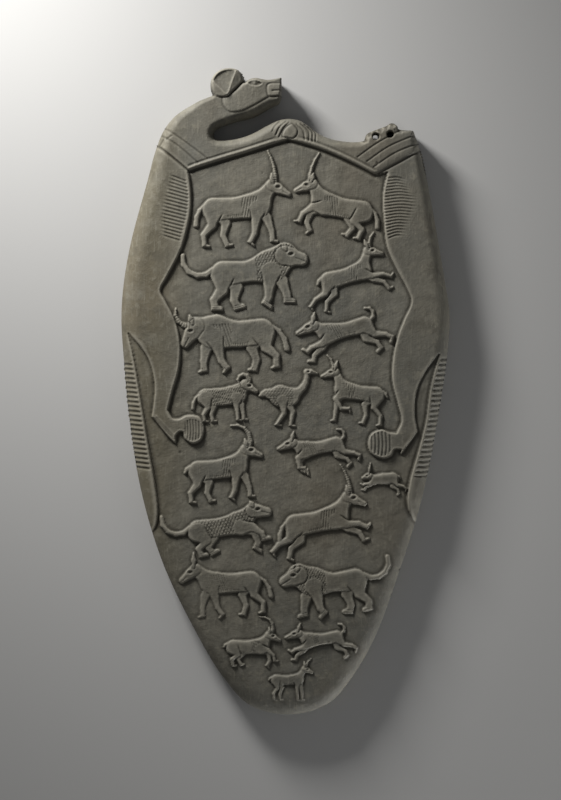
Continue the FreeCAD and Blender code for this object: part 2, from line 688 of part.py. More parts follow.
def animal_face(kind, gait, length, middle, slope, facing_left):
    """The animal's outline as one flat face in its place on the field."""
    rows = bird() if kind == "bird" else beast(kind, gait)
    size = length * FIGURE_SCALE
    cosine = math.cos(math.radians(slope))
    sine = math.sin(math.radians(slope))
    side = -1 if facing_left else 1
    faces = []
    for row in rows:
        placed = []
        for x, y, radius in row:
            along = (x * cosine - y * sine) * size * side + middle[0] * SCALE_X
            across = (x * sine + y * cosine) * size + middle[1] * SCALE_Y
            placed.append((along, across, radius * size))
        faces += [limb_face(first, second) for first, second in zip(placed, placed[1:])]
    merged = faces[0].multiFuse(faces[1:]).removeSplitter().Faces[0]
    return Part.makeFace([simpler(wire) for wire in merged.Wires], "Part::FaceMakerBullseye")


for name, kind, gait, length, middle, slope, facing_left in RELIEF:
    outline = doc.addObject("Part::Feature", name + "_outline")
    outline.Shape = animal_face(kind, gait, length, middle, slope, facing_left)
    node(name, slab_of(name, outline, FLOOR, "sizes.figure_height"))

# Build, check and write
doc.recompute()
for item in doc.Objects:
    if "Invalid" in item.State or "Error" in item.State:
        raise RuntimeError("not built: " + item.Name)
os.makedirs("parts", exist_ok=True)
for name, item in nodes.items():
    if item.Shape.isNull() or not item.Shape.isValid() or not item.Shape.Solids:
        raise RuntimeError("bad shape: " + name)
    item.Shape.exportStep("parts/" + name + ".step")
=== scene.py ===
import math

import bpy
import numpy as np
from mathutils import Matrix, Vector


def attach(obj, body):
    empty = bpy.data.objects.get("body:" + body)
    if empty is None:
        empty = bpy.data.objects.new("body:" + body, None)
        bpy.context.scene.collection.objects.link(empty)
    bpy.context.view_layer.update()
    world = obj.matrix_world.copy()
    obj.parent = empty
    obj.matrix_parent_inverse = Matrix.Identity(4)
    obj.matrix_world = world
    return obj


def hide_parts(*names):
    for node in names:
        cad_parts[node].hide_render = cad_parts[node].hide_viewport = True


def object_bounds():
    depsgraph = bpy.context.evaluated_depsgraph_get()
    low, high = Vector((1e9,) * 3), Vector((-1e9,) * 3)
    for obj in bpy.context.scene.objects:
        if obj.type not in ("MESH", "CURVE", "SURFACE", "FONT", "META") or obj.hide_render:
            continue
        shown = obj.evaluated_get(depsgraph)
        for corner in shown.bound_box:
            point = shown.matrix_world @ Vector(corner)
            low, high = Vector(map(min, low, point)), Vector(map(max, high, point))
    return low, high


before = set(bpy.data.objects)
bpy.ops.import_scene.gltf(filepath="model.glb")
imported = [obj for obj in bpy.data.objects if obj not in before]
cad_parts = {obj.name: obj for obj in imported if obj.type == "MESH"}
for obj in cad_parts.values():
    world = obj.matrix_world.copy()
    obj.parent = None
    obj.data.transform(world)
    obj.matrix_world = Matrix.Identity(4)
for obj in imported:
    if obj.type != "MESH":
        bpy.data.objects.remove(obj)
cad_low, cad_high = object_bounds()

# Shapes are worked out in millimetres and made in metres.
MM = 0.001
# Grid of the front and of the back, and the half width and height that both span
CELL = 0.5
BACK_CELL = 0.8
SHEET_HALF = (110.0, 214.5)
# Heights: the stone's widest level, the floor of the sunk field, the face, the head and the ear
GIRTH = 9.5
FLOOR = 18.0
FRONT = 20.0
HEAD_TOP = 20.7
EAR_TOP = 21.9
FIGURE_HEIGHT = 1.6
# The back's edge is rounded by this share of the front's, and never more sharply than the least
BACK_ROUNDING = 0.75
LEAST_BACK_ROUNDING = 2.0
# Distances to the outline are worked out this far; beyond it any rounding does
REACH = 22.0
FAR_ROUNDING = 5.0

# Outline of the stone, run by run, counter-clockwise, with the edge rounding of each run
RIM = (
    (-90.2, 140.8), (-101.8, 97.8), (-106.6, 70.0), (-108.0, 48.0), (-106.3, 20.0), (-102.4, -20.0),
    (-94.6, -67.1), (-80.2, -114.2), (-57.3, -161.3), (-41.0, -188.0), (-24.0, -206.0), (2.3, -212.5),
    (28.5, -205.0), (45.5, -185.3), (58.6, -162.0), (75.6, -116.0), (90.5, -67.1), (103.6, 3.6),
    (107.0, 30.0), (108.0, 50.0), (104.6, 74.3), (91.9, 144.9), (88.2, 160.0), (84.9, 169.0),
)
BREAK = (
    (84.9, 169.0), (84.1, 170.9), (77.5, 171.8), (74.3, 172.4), (73.6, 174.4), (69.7, 176.5),
    (65.8, 174.4), (57.9, 171.4), (53.3, 169.1), (52.2, 166.2), (51.8, 165.0),
)
BAR_TOP = (
    (51.8, 165.0), (48.9, 164.2), (43.0, 164.0), (36.1, 164.8), (30.4, 165.9), (24.8, 168.0),
    (19.8, 170.9), (14.7, 174.8), (10.0, 177.9), (2.3, 179.4), (-5.0, 178.2), (-13.0, 174.4),
    (-19.6, 170.7), (-25.7, 168.0), (-33.2, 165.9), (-40.7, 165.1), (-44.5, 165.3),
)
NOTCH = (
    (-44.5, 165.3), (-46.4, 166.3), (-47.2, 168.4), (-45.9, 171.6), (-42.9, 173.5), (-33.2, 176.9),
    (-19.6, 180.7), (-9.2, 186.6), (-4.6, 188.8),
)
MUZZLE = ((-4.6, 188.8), (-3.2, 190.7), (-2.6, 194.3), (-2.6, 206.1))
BROW = (
    (-2.6, 206.1), (-6.9, 205.3), (-11.4, 204.8), (-15.9, 205.5), (-19.6, 206.2), (-23.4, 205.4),
    (-26.8, 203.2),
)
EAR = (
    (-26.8, 203.2), (-27.2, 205.4), (-28.7, 208.8), (-31.7, 211.4), (-36.2, 212.4), (-41.4, 211.8),
    (-45.9, 209.2), (-48.6, 205.4), (-49.4, 201.7), (-48.9, 197.3), (-47.7, 194.5),
)
NAPE = (
    (-47.7, 194.5), (-56.5, 191.1), (-63.2, 187.4), (-69.2, 183.7), (-74.5, 179.2), (-80.5, 170.9),
    (-85.8, 157.4), (-90.2, 140.8),
)
OUTLINE = (
    (RIM, (11.0, 13.0, 13.0, 13.0, 13.0, 12.0, 9.0, 6.0)), (BREAK, (1.2,)),
    (BAR_TOP, (4.0, 6.0, 5.0, 6.0, 5.0)), (NOTCH, (5.0, 5.0, 6.0, 5.0)), (MUZZLE, (2.5, 0.7)),
    (BROW, (0.9, 3.0, 3.0)), (EAR, (2.2,)), (NAPE, (3.0, 7.0, 11.0)),
)
CORD_HOLES = ((59.2, 167.0), (68.6, 168.4))
CORD_HOLE_RADIUS = 1.8
CORD_HOLE_FLARE = 0.9
WELL = (0.0, 40.0)
WELL_RADIUS = 34.0
WELL_DEPTH = 2.4
WELL_SLOPE = 1.6
# Groove round the well: distance outside its rim, width, depth
WELL_GROOVE = (4.4, 0.9, 0.5)

# Sunk field: the moulding below the paws, then the right side down, then the left side up
CHEVRON_LEFT = ((-63.2, 144.2), (-59.5, 145.7), (-44.4, 150.6), (-25.7, 156.2), (-10.6, 161.1), (1.5, 164.9))
CHEVRON_RIGHT = ((1.5, 164.9), (10.6, 162.5), (24.8, 157.9), (38.9, 151.9), (50.3, 146.2), (58.8, 141.6))
FIELD = (
    CHEVRON_LEFT,
    CHEVRON_RIGHT,
    ((58.8, 141.6), (66.6, 143.3)),
    (
        (66.6, 143.3), (63.8, 128.8), (64.5, 110.3), (66.4, 94.6), (72.3, 80.8), (79.5, 67.1), (82.2, 58.9),
        (77.3, 46.8), (73.6, 37.0), (70.3, 22.0), (69.9, 6.8), (73.6, -8.8), (75.8, -19.0), (72.6, -27.0),
    ),
    (
        (72.6, -27.0), (67.7, -26.4), (63.0, -24.8), (56.2, -27.6), (53.9, -34.3), (56.2, -41.0),
        (64.6, -44.2), (69.8, -42.0), (71.5, -38.3), (75.6, -38.3),
    ),
    ((75.6, -38.3), (75.3, -41.4), (80.8, -34.8), (86.8, -26.4)),
    ((86.8, -26.4), (84.9, -14.5), (86.0, -1.0), (92.0, 13.0), (100.3, 24.4)),
    (
        (100.3, 24.4), (94.7, 2.2), (91.6, -20.0), (86.8, -39.1), (81.3, -58.9), (79.7, -70.8), (81.0, -79.0),
        (86.0, -87.5),
    ),
    ((86.0, -87.5), (150.0, -90.0), (150.0, -240.0), (-150.0, -240.0), (-150.0, -99.0), (-90.0, -95.5)),
    (
        (-90.0, -95.5), (-84.7, -88.0), (-83.5, -77.7), (-85.5, -58.9), (-90.2, -31.1), (-95.4, 0.6),
        (-99.4, 22.8), (-102.9, 37.9),
    ),
    ((-102.9, 37.9), (-94.6, 28.2), (-89.3, 19.3), (-85.9, 4.3), (-86.4, -5.6), (-87.9, -16.7)),
    ((-87.9, -16.7), (-72.0, -34.0), (-71.8, -29.4)),
    (
        (-71.8, -29.4), (-69.7, -26.8), (-67.3, -26.8), (-66.3, -30.7), (-60.9, -34.4), (-55.3, -32.0),
        (-53.3, -23.2), (-56.3, -16.5), (-64.8, -15.5), (-69.7, -17.7), (-73.5, -17.5), (-76.8, -12.1),
    ),
    (
        (-76.8, -12.1), (-73.6, 0.6), (-69.6, 15.0), (-68.8, 32.4), (-72.0, 46.8), (-78.2, 59.2),
        (-81.6, 66.0), (-77.5, 74.7), (-73.6, 81.9), (-68.8, 91.4), (-65.6, 100.9), (-62.3, 115.5),
        (-61.5, 127.9), (-63.2, 144.2),
    ),
)
WALL = 1.5
# How crisp the field's wall is along the stone. Where it is soft, the floor slopes up: width, rise
CRISPNESS = ((-95.0, -84.0, 20.0, 38.0, 62.0, 72.0), (0.4, 1.0, 1.0, 0.62, 0.55, 1.0))
SOFT_SLOPE = (9.0, 1.4)
# The strips between tails and haunches are filled nearly level
STRIP_START = 76.0
STRIP_TOP = 42.0
STRIP_FILLING = ((-62.0, -20.0, 38.0), (0.0, 0.55, 0.92))
# The wall's upper edge is a low worn bead: place, width, height
BEAD = (0.9, 0.55, 0.22)
BEAD_WEAR = ((-90.0, -60.0, 60.0, 90.0, 150.0), (0.2, 0.7, 1.0, 0.4, 0.0))
# Waves of the worked stone: length, height, seed
FIELD_WAVES = ((27.0, 0.20, 3), (10.0, 0.11, 4), (3.6, 0.035, 6))
SIDE_WAVES = ((38.0, 0.13, 5), (12.0, 0.05, 7))
BREAK_WAVES = ((5.5, 0.8, 11), (2.4, 0.22, 12))
# Rubbed patches: middle, reach across and along, share of the carving that is lost
WORN = (((-52.0, -134.0), (17.0, 26.0), 0.55), ((0.0, -196.0), (30.0, 16.0), 0.35))
# Chips, pits and nicks: middle, size, depth
CHIPS = (
    (72.0, -134.0, 2.2, 1.6), (69.5, -141.0, 1.4, 0.7), (75.5, -117.0, 1.3, 0.6),
    (-69.0, -40.0, 0.9, 0.4), (60.0, 149.5, 0.8, 0.5), (-15.0, 143.0, 0.6, 0.35),
)

# Hounds' heads and paws
EAR_HOLLOW = (
    ((-47.3, 203.5), (-45.0, 206.8), (-41.4, 209.2), (-37.0, 210.3), (-32.6, 210.2)),
    ((-32.6, 210.2), (-38.4, 194.2)), ((-38.4, 194.2), (-47.3, 203.5)),
)
EAR_RIDGE = ((-47.3, 203.5), (-42.6, 199.0), (-38.4, 194.2), (-35.4, 202.0), (-32.6, 210.2))
EAR_FOLD = ((-26.8, 203.2), (-31.5, 198.2), (-35.4, 195.3))
# The ear's hollow is deepest at the upper rim and rises by this share towards the foot
HOLLOW_RIM = (-47.3, 210.3)
HOLLOW_DEPTH = 1.7
HOLLOW_RISE = 0.105
HOLLOW_SLANT = 0.62
# Each side of the ear falls away from the hollow: a point of the edge and the direction down
EAR_SIDES = (((-47.3, 203.5), (-0.72, -0.69), 0.26), ((-38.4, 194.2), (0.94, -0.34), 0.24))
EAR_FOOT = ((-47.7, 194.5), (-45.5, 193.1), (-42.2, 192.3), (-38.4, 192.6), (-33.2, 196.8), (-26.8, 203.2))
CHEEK = ((-41.4, 191.9), (-40.7, 187.4), (-37.0, 183.2), (-30.2, 183.2), (-21.9, 186.6), (-11.4, 192.6))
CHEEK_CLOSED = (
    CHEEK,
    ((-11.4, 192.6), (-2.6, 193.4), (10.0, 193.4), (10.0, 215.0), (-26.8, 215.0), (-41.4, 191.9)),
)
EYE_TOP = ((-24.9, 201.9), (-22.8, 203.3), (-20.6, 203.8), (-17.7, 202.9), (-15.1, 201.7))
EYE_FOOT = ((-15.1, 201.7), (-17.3, 200.4), (-19.8, 200.0), (-22.6, 200.7), (-24.9, 201.9))
PUPIL = (-20.2, 201.9)
MUZZLE_BOX = (
    (-2.0, 201.9), (-10.6, 201.4), (-12.0, 200.2), (-12.2, 197.0), (-11.4, 193.6), (-9.6, 193.0),
    (-2.0, 193.6),
)
MUZZLE_END = ((-2.0, 193.6), (6.0, 193.6), (6.0, 201.9), (-2.0, 201.9))
MOUTH = ((-8.4, 196.8), (-2.0, 197.2))
NOSE = ((-9.5, 203.6), (-2.4, 203.2))
COLLAR_LINES = (
    ((-79.4, 172.7), (-67.7, 164.8), (-51.2, 152.5)), ((-81.3, 167.5), (-70.7, 161.1), (-57.2, 149.5)),
    ((-82.4, 160.0), (-74.5, 153.6), (-63.4, 144.4)), ((-74.5, 167.5), (-77.9, 165.2)),
    ((-80.2, 164.9), (-83.1, 160.4)),
    ((47.2, 153.4), (59.2, 162.0), (74.9, 170.8)), ((53.3, 150.5), (67.1, 160.0), (84.7, 167.8)),
    ((57.8, 146.9), (71.7, 156.1), (87.4, 162.6)),
)
RIGHT_COLLAR_FOOT = ((58.8, 141.6), (73.6, 149.4), (90.7, 158.9))
LEFT_COLLAR_FOOT = ((-85.0, 161.6), (-74.5, 153.6), (-63.2, 144.2))
TOES = (
    ((-4.2, 177.1), (-6.9, 174.2), (-8.8, 170.3)), ((0.2, 177.1), (-3.9, 173.1), (-6.4, 168.0)),
    ((2.4, 176.5), (-1.6, 172.0), (-4.3, 166.6)), ((7.1, 174.9), (11.4, 170.5), (12.6, 164.6)),
    ((9.9, 175.4), (15.1, 170.2), (15.2, 164.0)), ((12.6, 174.8), (17.5, 170.2), (17.6, 163.6)),
    ((15.1, 173.4), (19.6, 169.6), (19.6, 163.9)),
)
PAD = (
    (4.4, 175.6), (7.9, 170.8), (7.4, 167.8), (4.9, 165.6), (1.0, 166.2), (-2.1, 166.6), (-2.0, 169.4),
    (1.0, 173.4), (4.4, 175.6),
)
# The lines of a mane: left ends, right ends, number of lines, bow
MANE_HATCH = (
    (
        ((-76.0, 141.8), (-81.1, 121.5), (-82.2, 110.0), (-81.1, 102.5)),
        ((-65.6, 137.8), (-64.1, 128.7), (-65.0, 117.0), (-69.6, 98.9)),
        18, 0.0,
    ),
    (
        ((67.7, 139.8), (65.7, 130.0), (65.1, 113.5), (67.7, 100.4)),
        ((78.8, 138.4), (86.0, 123.3), (82.0, 112.0), (77.5, 101.8)),
        20, 1.1,
    ),
)
MANE_FADE = 3.5
# The stripes of a tail: side, inner line, first and last height, number of lines, slope
TAIL_STRIPES = (
    (
        -1, ((-102.9, 37.9), (-99.4, 22.8), (-95.4, 0.6), (-90.2, -31.1), (-85.5, -58.9)),
        30.0, -52.0, 27, 0.10,
    ),
    (
        1, ((100.3, 24.4), (94.7, 2.2), (91.6, -20.0), (86.8, -39.1), (81.3, -58.9)),
        24.0, -56.0, 24, 0.02,
    ),
)
STRIPE_MARGIN = 1.4
# Hind paws: middle, size, number of toes
HIND_PAWS = ((-61.0, -25.2, 8.6, 7), (62.6, -34.2, 9.6, 6))
# Lines on the left haunch and shank: points, width, depth; a negative depth raises the line
LEG_LINES = (
    (((-86.0, -17.5), (-73.0, -31.5)), 0.45, 0.40),
    (((-84.2, -16.0), (-71.5, -29.5)), 0.7, -0.30),
    (((-95.4, 34.4), (-91.3, 30.4), (-87.9, 22.4)), 0.5, 0.30),
)
# Lines along the top of the field: distance up from its edge, width, depth, whether the pad breaks them
MOULDING = ((2.0, 0.55, -0.30, True), (3.7, 0.55, 0.42, True), (-0.9, 0.9, 0.55, False))

# Animals of the field. Lengths are shares of the distance from hip to shoulder.
ANIMALS = {
    "oryx": dict(
        torso=(0.28, 0.25, 0.31), rise=0.04, neck=(0.46, 50, 0.22, 0.135), head=(0.44, -32, 0.135, 0.062),
        hind=(0.30, 0.30, 0.26), front=(0.24, 0.30, 0.24), leg=(0.19, 0.092, 0.062),
        foot="hoof", horn="oryx", ear=0.20, tail="switch", coat="ribs",
    ),
    "gazelle": dict(
        torso=(0.27, 0.225, 0.285), rise=0.03, neck=(0.50, 58, 0.175, 0.115), head=(0.42, -28, 0.130, 0.060),
        hind=(0.33, 0.33, 0.28), front=(0.26, 0.33, 0.26), leg=(0.175, 0.084, 0.056),
        foot="hoof", horn="gazelle", ear=0.26, tail="short", coat="ribs",
    ),
    "ibex": dict(
        torso=(0.28, 0.25, 0.30), rise=0.04, neck=(0.40, 54, 0.21, 0.145), head=(0.42, -28, 0.14, 0.068),
        hind=(0.29, 0.29, 0.25), front=(0.23, 0.29, 0.23), leg=(0.19, 0.092, 0.064),
        foot="hoof", horn="ibex", ear=0.20, tail="short", coat="ribs",
    ),
    "ram": dict(
        torso=(0.30, 0.29, 0.32), rise=0.03, neck=(0.34, 46, 0.25, 0.17), head=(0.42, -36, 0.15, 0.075),
        hind=(0.27, 0.28, 0.23), front=(0.22, 0.27, 0.22), leg=(0.19, 0.092, 0.068),
        foot="hoof", horn="ram", ear=0.0, tail="switch", coat="fleece",
    ),
    "bull": dict(
        torso=(0.29, 0.28, 0.36), rise=0.08, neck=(0.30, 24, 0.29, 0.20), head=(0.44, -52, 0.18, 0.10),
        hind=(0.28, 0.28, 0.23), front=(0.23, 0.27, 0.21), leg=(0.20, 0.105, 0.074),
        foot="hoof", horn="bull", ear=0.18, tail="tuft", coat="ribs",
    ),
    "ass": dict(
        torso=(0.28, 0.25, 0.30), rise=0.03, neck=(0.44, 44, 0.22, 0.155), head=(0.46, -34, 0.15, 0.085),
        hind=(0.29, 0.30, 0.25), front=(0.24, 0.29, 0.23), leg=(0.185, 0.092, 0.064),
        foot="hoof", horn="none", ear=0.36, tail="tuft", coat="ribs",
    ),
    "lion": dict(
        torso=(0.28, 0.225, 0.34), rise=0.05, neck=(0.28, 32, 0.32, 0.28), head=(0.36, -18, 0.215, 0.145),
        hind=(0.28, 0.28, 0.19), front=(0.24, 0.28, 0.17), leg=(0.21, 0.115, 0.088),
        foot="paw", horn="none", ear=0.14, tail="long", coat="mane",
    ),
    "leopard": dict(
        torso=(0.26, 0.215, 0.27), rise=0.02, neck=(0.30, 36, 0.22, 0.175), head=(0.34, -16, 0.17, 0.115),
        hind=(0.27, 0.28, 0.19), front=(0.24, 0.27, 0.17), leg=(0.185, 0.098, 0.076),
        foot="paw", horn="none", ear=0.13, tail="long", coat="spots",
    ),
    "hound": dict(
        torso=(0.235, 0.195, 0.27), rise=0.02, neck=(0.34, 42, 0.185, 0.145), head=(0.46, -12, 0.145, 0.072),
        hind=(0.29, 0.31, 0.21), front=(0.26, 0.30, 0.18), leg=(0.17, 0.088, 0.066),
        foot="paw", horn="none", ear=0.28, tail="curl", coat="ribs",
    ),
    "hare": dict(
        torso=(0.33, 0.29, 0.25), rise=-0.05, neck=(0.20, 40, 0.19, 0.16), head=(0.36, -20, 0.17, 0.09),
        hind=(0.32, 0.36, 0.24), front=(0.22, 0.26, 0.16), leg=(0.20, 0.10, 0.075),
        foot="paw", horn="none", ear=0.60, tail="short", coat="plain",
    ),
}

# Joint angles from straight down, forwards positive: near hind, far hind, near front, far front
GAITS = {
    "walk": ((-8, -44, 2), (34, -16, 20), (-14, -10, -30), (34, 16, 2)),
    "stand": ((14, -34, 6), (34, -20, 10), (-6, 4, 0), (18, 8, 4)),
    "gallop": ((-34, -74, -50), (-6, -58, -20), (64, 84, 58), (42, 58, 24)),
    "leap": ((-34, -70, -54), (-8, -58, -26), (70, 6, -70), (44, -8, -78)),
    "spring": ((42, -54, 14), (62, -36, 30), (84, 48, 16), (60, 10, -30)),
    "turn": ((6, -46, -4), (40, -14, 14), (44, -36, -96), (14, 2, 0)),
}

# Horns and tails: first angle, turn along the curve, length, steps, radius at the root and at the tip
HORNS = {
    "oryx": (24, 34, 0.78, 4, 0.052, 0.020),
    "gazelle": (30, -62, 0.50, 3, 0.058, 0.024),
    "ibex": (-4, 132, 0.92, 5, 0.072, 0.024),
    "ram": (-4, 256, 0.78, 6, 0.092, 0.036),
    "bull": (-44, 120, 0.58, 4, 0.070, 0.022),
}
TAILS = {
    "short": (190, 60, 0.20, 2, 0.070, 0.040),
    "switch": (215, 55, 0.52, 3, 0.042, 0.062),
    "tuft": (212, 58, 0.62, 3, 0.040, 0.064),
    "long": (225, -150, 0.95, 5, 0.060, 0.052),
    "curl": (165, -170, 0.50, 4, 0.054, 0.034),
}

# How far the joints of a part melt together
MELT = {"body": 0.10, "head": 0.05, "far": 0.03, "near": 0.03, "ear": 0.02, "horn": 0.02, "tail": 0.02}
# Heights of the lower parts as shares of the body's, and the width of the rounded edges
LOWER_PARTS = (("far", 0.78), ("tail", 0.86), ("horn", 0.90))
FIGURE_EDGE = 1.15
FIGURE_MARGIN = 8.0
# Feet are flat below, at this share of the ankle's radius under its middle
SOLE = 0.45
# Evenly spaced cut lines: pitch, width as a share of it, depth
RIBS = (0.062, 0.17, 0.46)
BELLY_FOLDS = (0.05, 0.18, 0.34)
HORN_RINGS = (0.055, 0.20, 0.38)
TOE_LINES = (0.040, 0.17, 0.42)
# Overlapping locks, wool, spots and feathers: pitch, and where they start and stop along the body
LOCKS = {
    "mane": (0.066, 0.20, 9.0), "fleece": (0.078, -9.0, 9.0), "spots": (0.080, -9.0, 9.0),
    "feathers": (0.085, -9.0, 0.24),
}
BIRD = {"coat": "feathers", "foot": "claw"}
# The eye's pit is this share of the brow, between the least and the largest radius
EYE_SHARE = 0.30
EYE_PIT = (0.42, 1.05)

# Name, kind, gait, length from hip to shoulder, middle of the body, slope of the back, facing left
RELIEF = (
    ("left_oryx", "oryx", "walk", 28.5, (-32.5, 120.0), 4, False),
    ("right_oryx", "oryx", "spring", 26.0, (37.5, 120.0), 10, True),
    ("upper_lion", "lion", "walk", 31.0, (-25.0, 78.5), 6, False),
    ("upper_gazelle", "gazelle", "gallop", 22.5, (39.5, 75.5), 16, False),
    ("wild_bull", "bull", "walk", 31.0, (-31.0, 37.5), -5, True),
    ("running_hound", "hound", "gallop", 24.5, (40.0, 40.5), -14, True),
    ("ram", "ram", "stand", 20.0, (-42.0, -3.5), 4, False),
    ("ostrich", "bird", "stand", 23.5, (-0.5, -3.0), 0, False),
    ("doe", "gazelle", "turn", 21.5, (48.5, -1.0), 8, True),
    ("ibex", "ibex", "walk", 25.0, (-44.5, -51.0), 6, False),
    ("leaping_hound", "hound", "leap", 21.0, (23.0, -36.5), -12, True),
    ("leopard", "leopard", "spring", 28.0, (-43.0, -89.0), 10, False),
    ("middle_oryx", "oryx", "gallop", 27.0, (20.0, -85.5), 10, False),
    ("hare", "hare", "gallop", 12.5, (64.0, -57.0), 0, True),
    ("wild_ass", "ass", "walk", 25.5, (-35.5, -125.5), -4, True),
    ("lower_lion", "lion", "walk", 27.5, (32.0, -125.0), -6, True),
    ("lower_ibex", "ibex", "spring", 18.0, (-25.0, -167.5), 0, False),
    ("lower_hound", "hound", "gallop", 18.5, (24.5, -162.0), -8, True),
    ("fawn", "gazelle", "stand", 14.0, (1.0, -189.0), 0, False),
)


def spline(points, step=1.2):
    """A smooth row of points through the given ones."""
    rows = np.array(points, float)
    if len(rows) < 3:
        return rows
    ends = np.vstack([2 * rows[0] - rows[1], rows, 2 * rows[-1] - rows[-2]])
    made = []
    for before, start, stop, after in zip(ends, ends[1:], ends[2:], ends[3:]):
        span = np.linalg.norm(stop - start)
        count = max(2, int(span / step))
        knots = np.cumsum([0.0] + [math.sqrt(np.linalg.norm(b - a)) for a, b in
                                   ((before, start), (start, stop), (stop, after))])
        t = np.linspace(knots[1], knots[2], count, endpoint=False)[:, None]

        def mix(a, b, low, high):
            return a * (high - t) / (high - low) + b * (t - low) / (high - low)

        first = mix(before, start, knots[0], knots[1])
        second = mix(start, stop, knots[1], knots[2])
        third = mix(stop, after, knots[2], knots[3])
        made.append(mix(mix(first, second, knots[0], knots[2]), mix(second, third, knots[1], knots[3]),
                        knots[1], knots[2]))
    return np.vstack(made + [rows[-1:]])


def share_of(points, share):
    """The point at that share of the length of a row of points."""
    steps = np.linalg.norm(np.diff(points, axis=0), axis=1)
    passed = np.concatenate([[0.0], np.cumsum(steps)]) / steps.sum()
    return np.array([np.interp(share, passed, column) for column in points.T])


def closed(runs):
    """One closed row of points from smooth runs that meet at corners."""
    return np.vstack([spline(run)[:-1] for run in runs])


class Ground:
    """Points of a surface, kept in grid order, with quick windows onto them."""

    def __init__(self, x, y, slack=4.0):
        self.x, self.y = x, y
        self.slack = slack
        self.columns = x.mean(axis=0)
        self.rows = y.mean(axis=1)

    def window(self, points, margin):
        points = np.asarray(points, float)
        low = points[:, :2].min(axis=0) - margin - self.slack
        high = points[:, :2].max(axis=0) + margin + self.slack
        columns = slice(*np.searchsorted(self.columns, (low[0], high[0])))
        rows = slice(*np.searchsorted(self.rows, (low[1], high[1])))
        return rows, columns

    def to_line(self, points, margin):
        """Distance to an open row of points and length along it, far ones left at the margin."""
        gap = np.full(self.x.shape, float(margin))
        along = np.zeros(self.x.shape)
        passed = 0.0
        for start, stop in zip(points, points[1:]):
            dx, dy = stop - start
            length = math.hypot(dx, dy)
            if length < 1e-9:
                continue
            part = self.window((start, stop), margin)
            x, y = self.x[part] - start[0], self.y[part] - start[1]
            t = np.clip((x * dx + y * dy) / length ** 2, 0, 1)
            near = np.hypot(x - t * dx, y - t * dy)
            closer = near < gap[part]
            gap[part] = np.where(closer, near, gap[part])
            along[part] = np.where(closer, passed + t * length, along[part])
            passed += length
        return gap, along

    def within(self, points):
        """Whether each point lies inside a closed row of points."""
        inside = np.zeros(self.x.shape, bool)
        for (ax, ay), (bx, by) in zip(points, np.roll(points, -1, axis=0)):
            if ay == by:
                continue
            reach_out = self.slack + 0.1
            rows = slice(*np.searchsorted(self.rows, (min(ay, by) - reach_out, max(ay, by) + reach_out)))
            x, y = self.x[rows], self.y[rows]
            spans = (y > min(ay, by)) & (y <= max(ay, by))
            inside[rows] ^= spans & (x > ax + (y - ay) * (bx - ax) / (by - ay))
        return inside

    def depth_in(self, points, margin):
        """Signed distance to a closed row of points, positive inside."""
        gap, _ = self.to_line(np.vstack([points, points[:1]]), margin)
        return np.where(self.within(points), gap, -gap)


def smooth_min(a, b, blend):
    share = np.clip(0.5 + 0.5 * (b - a) / blend, 0, 1)
    return b + (a - b) * share - blend * share * (1 - share)


def swell(depth, width, height):
    """Height of a raised form that far inside its edge, with a rounded shoulder."""
    t = np.clip(depth / width, 0, 1)
    return height * np.sqrt(1 - (1 - t) ** 2)


def bell(distance, width):
    return np.exp(-(distance / width) ** 2)


def stripes(position, pitch, width, depth):
    """Depth of evenly spaced lines, their width a share of the pitch."""
    return depth * bell(np.mod(position / pitch, 1.0) - 0.5, width)


def ripple(x, y, size, seed):
    """Slow random waves between about -1 and 1, the same at each run."""
    dice = np.random.default_rng(seed)
    total = np.zeros(x.shape)
    for _ in range(7):
        angle = dice.uniform(0, math.tau)
        pitch = math.tau / (size * dice.uniform(0.6, 1.6))
        total += np.sin((x * math.cos(angle) + y * math.sin(angle)) * pitch + dice.uniform(0, math.tau))
    return total / 4.5


# Figures are rows of joints, each a place and a radius, as the carved pieces of the frame are
def reach(start, angle, length):
    turn = math.radians(angle)
    return (start[0] + length * math.cos(turn), start[1] + length * math.sin(turn))


def bow(start, angle, turn, length, steps, first, last):
    """A row that turns evenly, its radius going from the first to the last."""
    x, y = start
    row = [(x, y, first)]
    for number in range(steps):
        x, y = reach((x, y), angle + turn * (number + 0.5) / steps, length / steps)
        row.append((x, y, first + (last - first) * (number + 1) / steps))
    return row


def leg(start, lengths, angles, top, radii, hoofed):
    """The rows of a leg and of its foot."""
    row = [start + (top,)]
    joint = start
    for length, angle, radius in zip(lengths, angles, (radii[1] * 1.15, radii[1] * 0.74, radii[2])):
        joint = reach(joint, angle - 90, length)
        row.append(joint + (radius,))
    toe = reach(joint, angles[2] - 10, 0.10)
    return [row, [joint + (radii[2],), toe + (0.034 if hoofed else 0.074,)]]


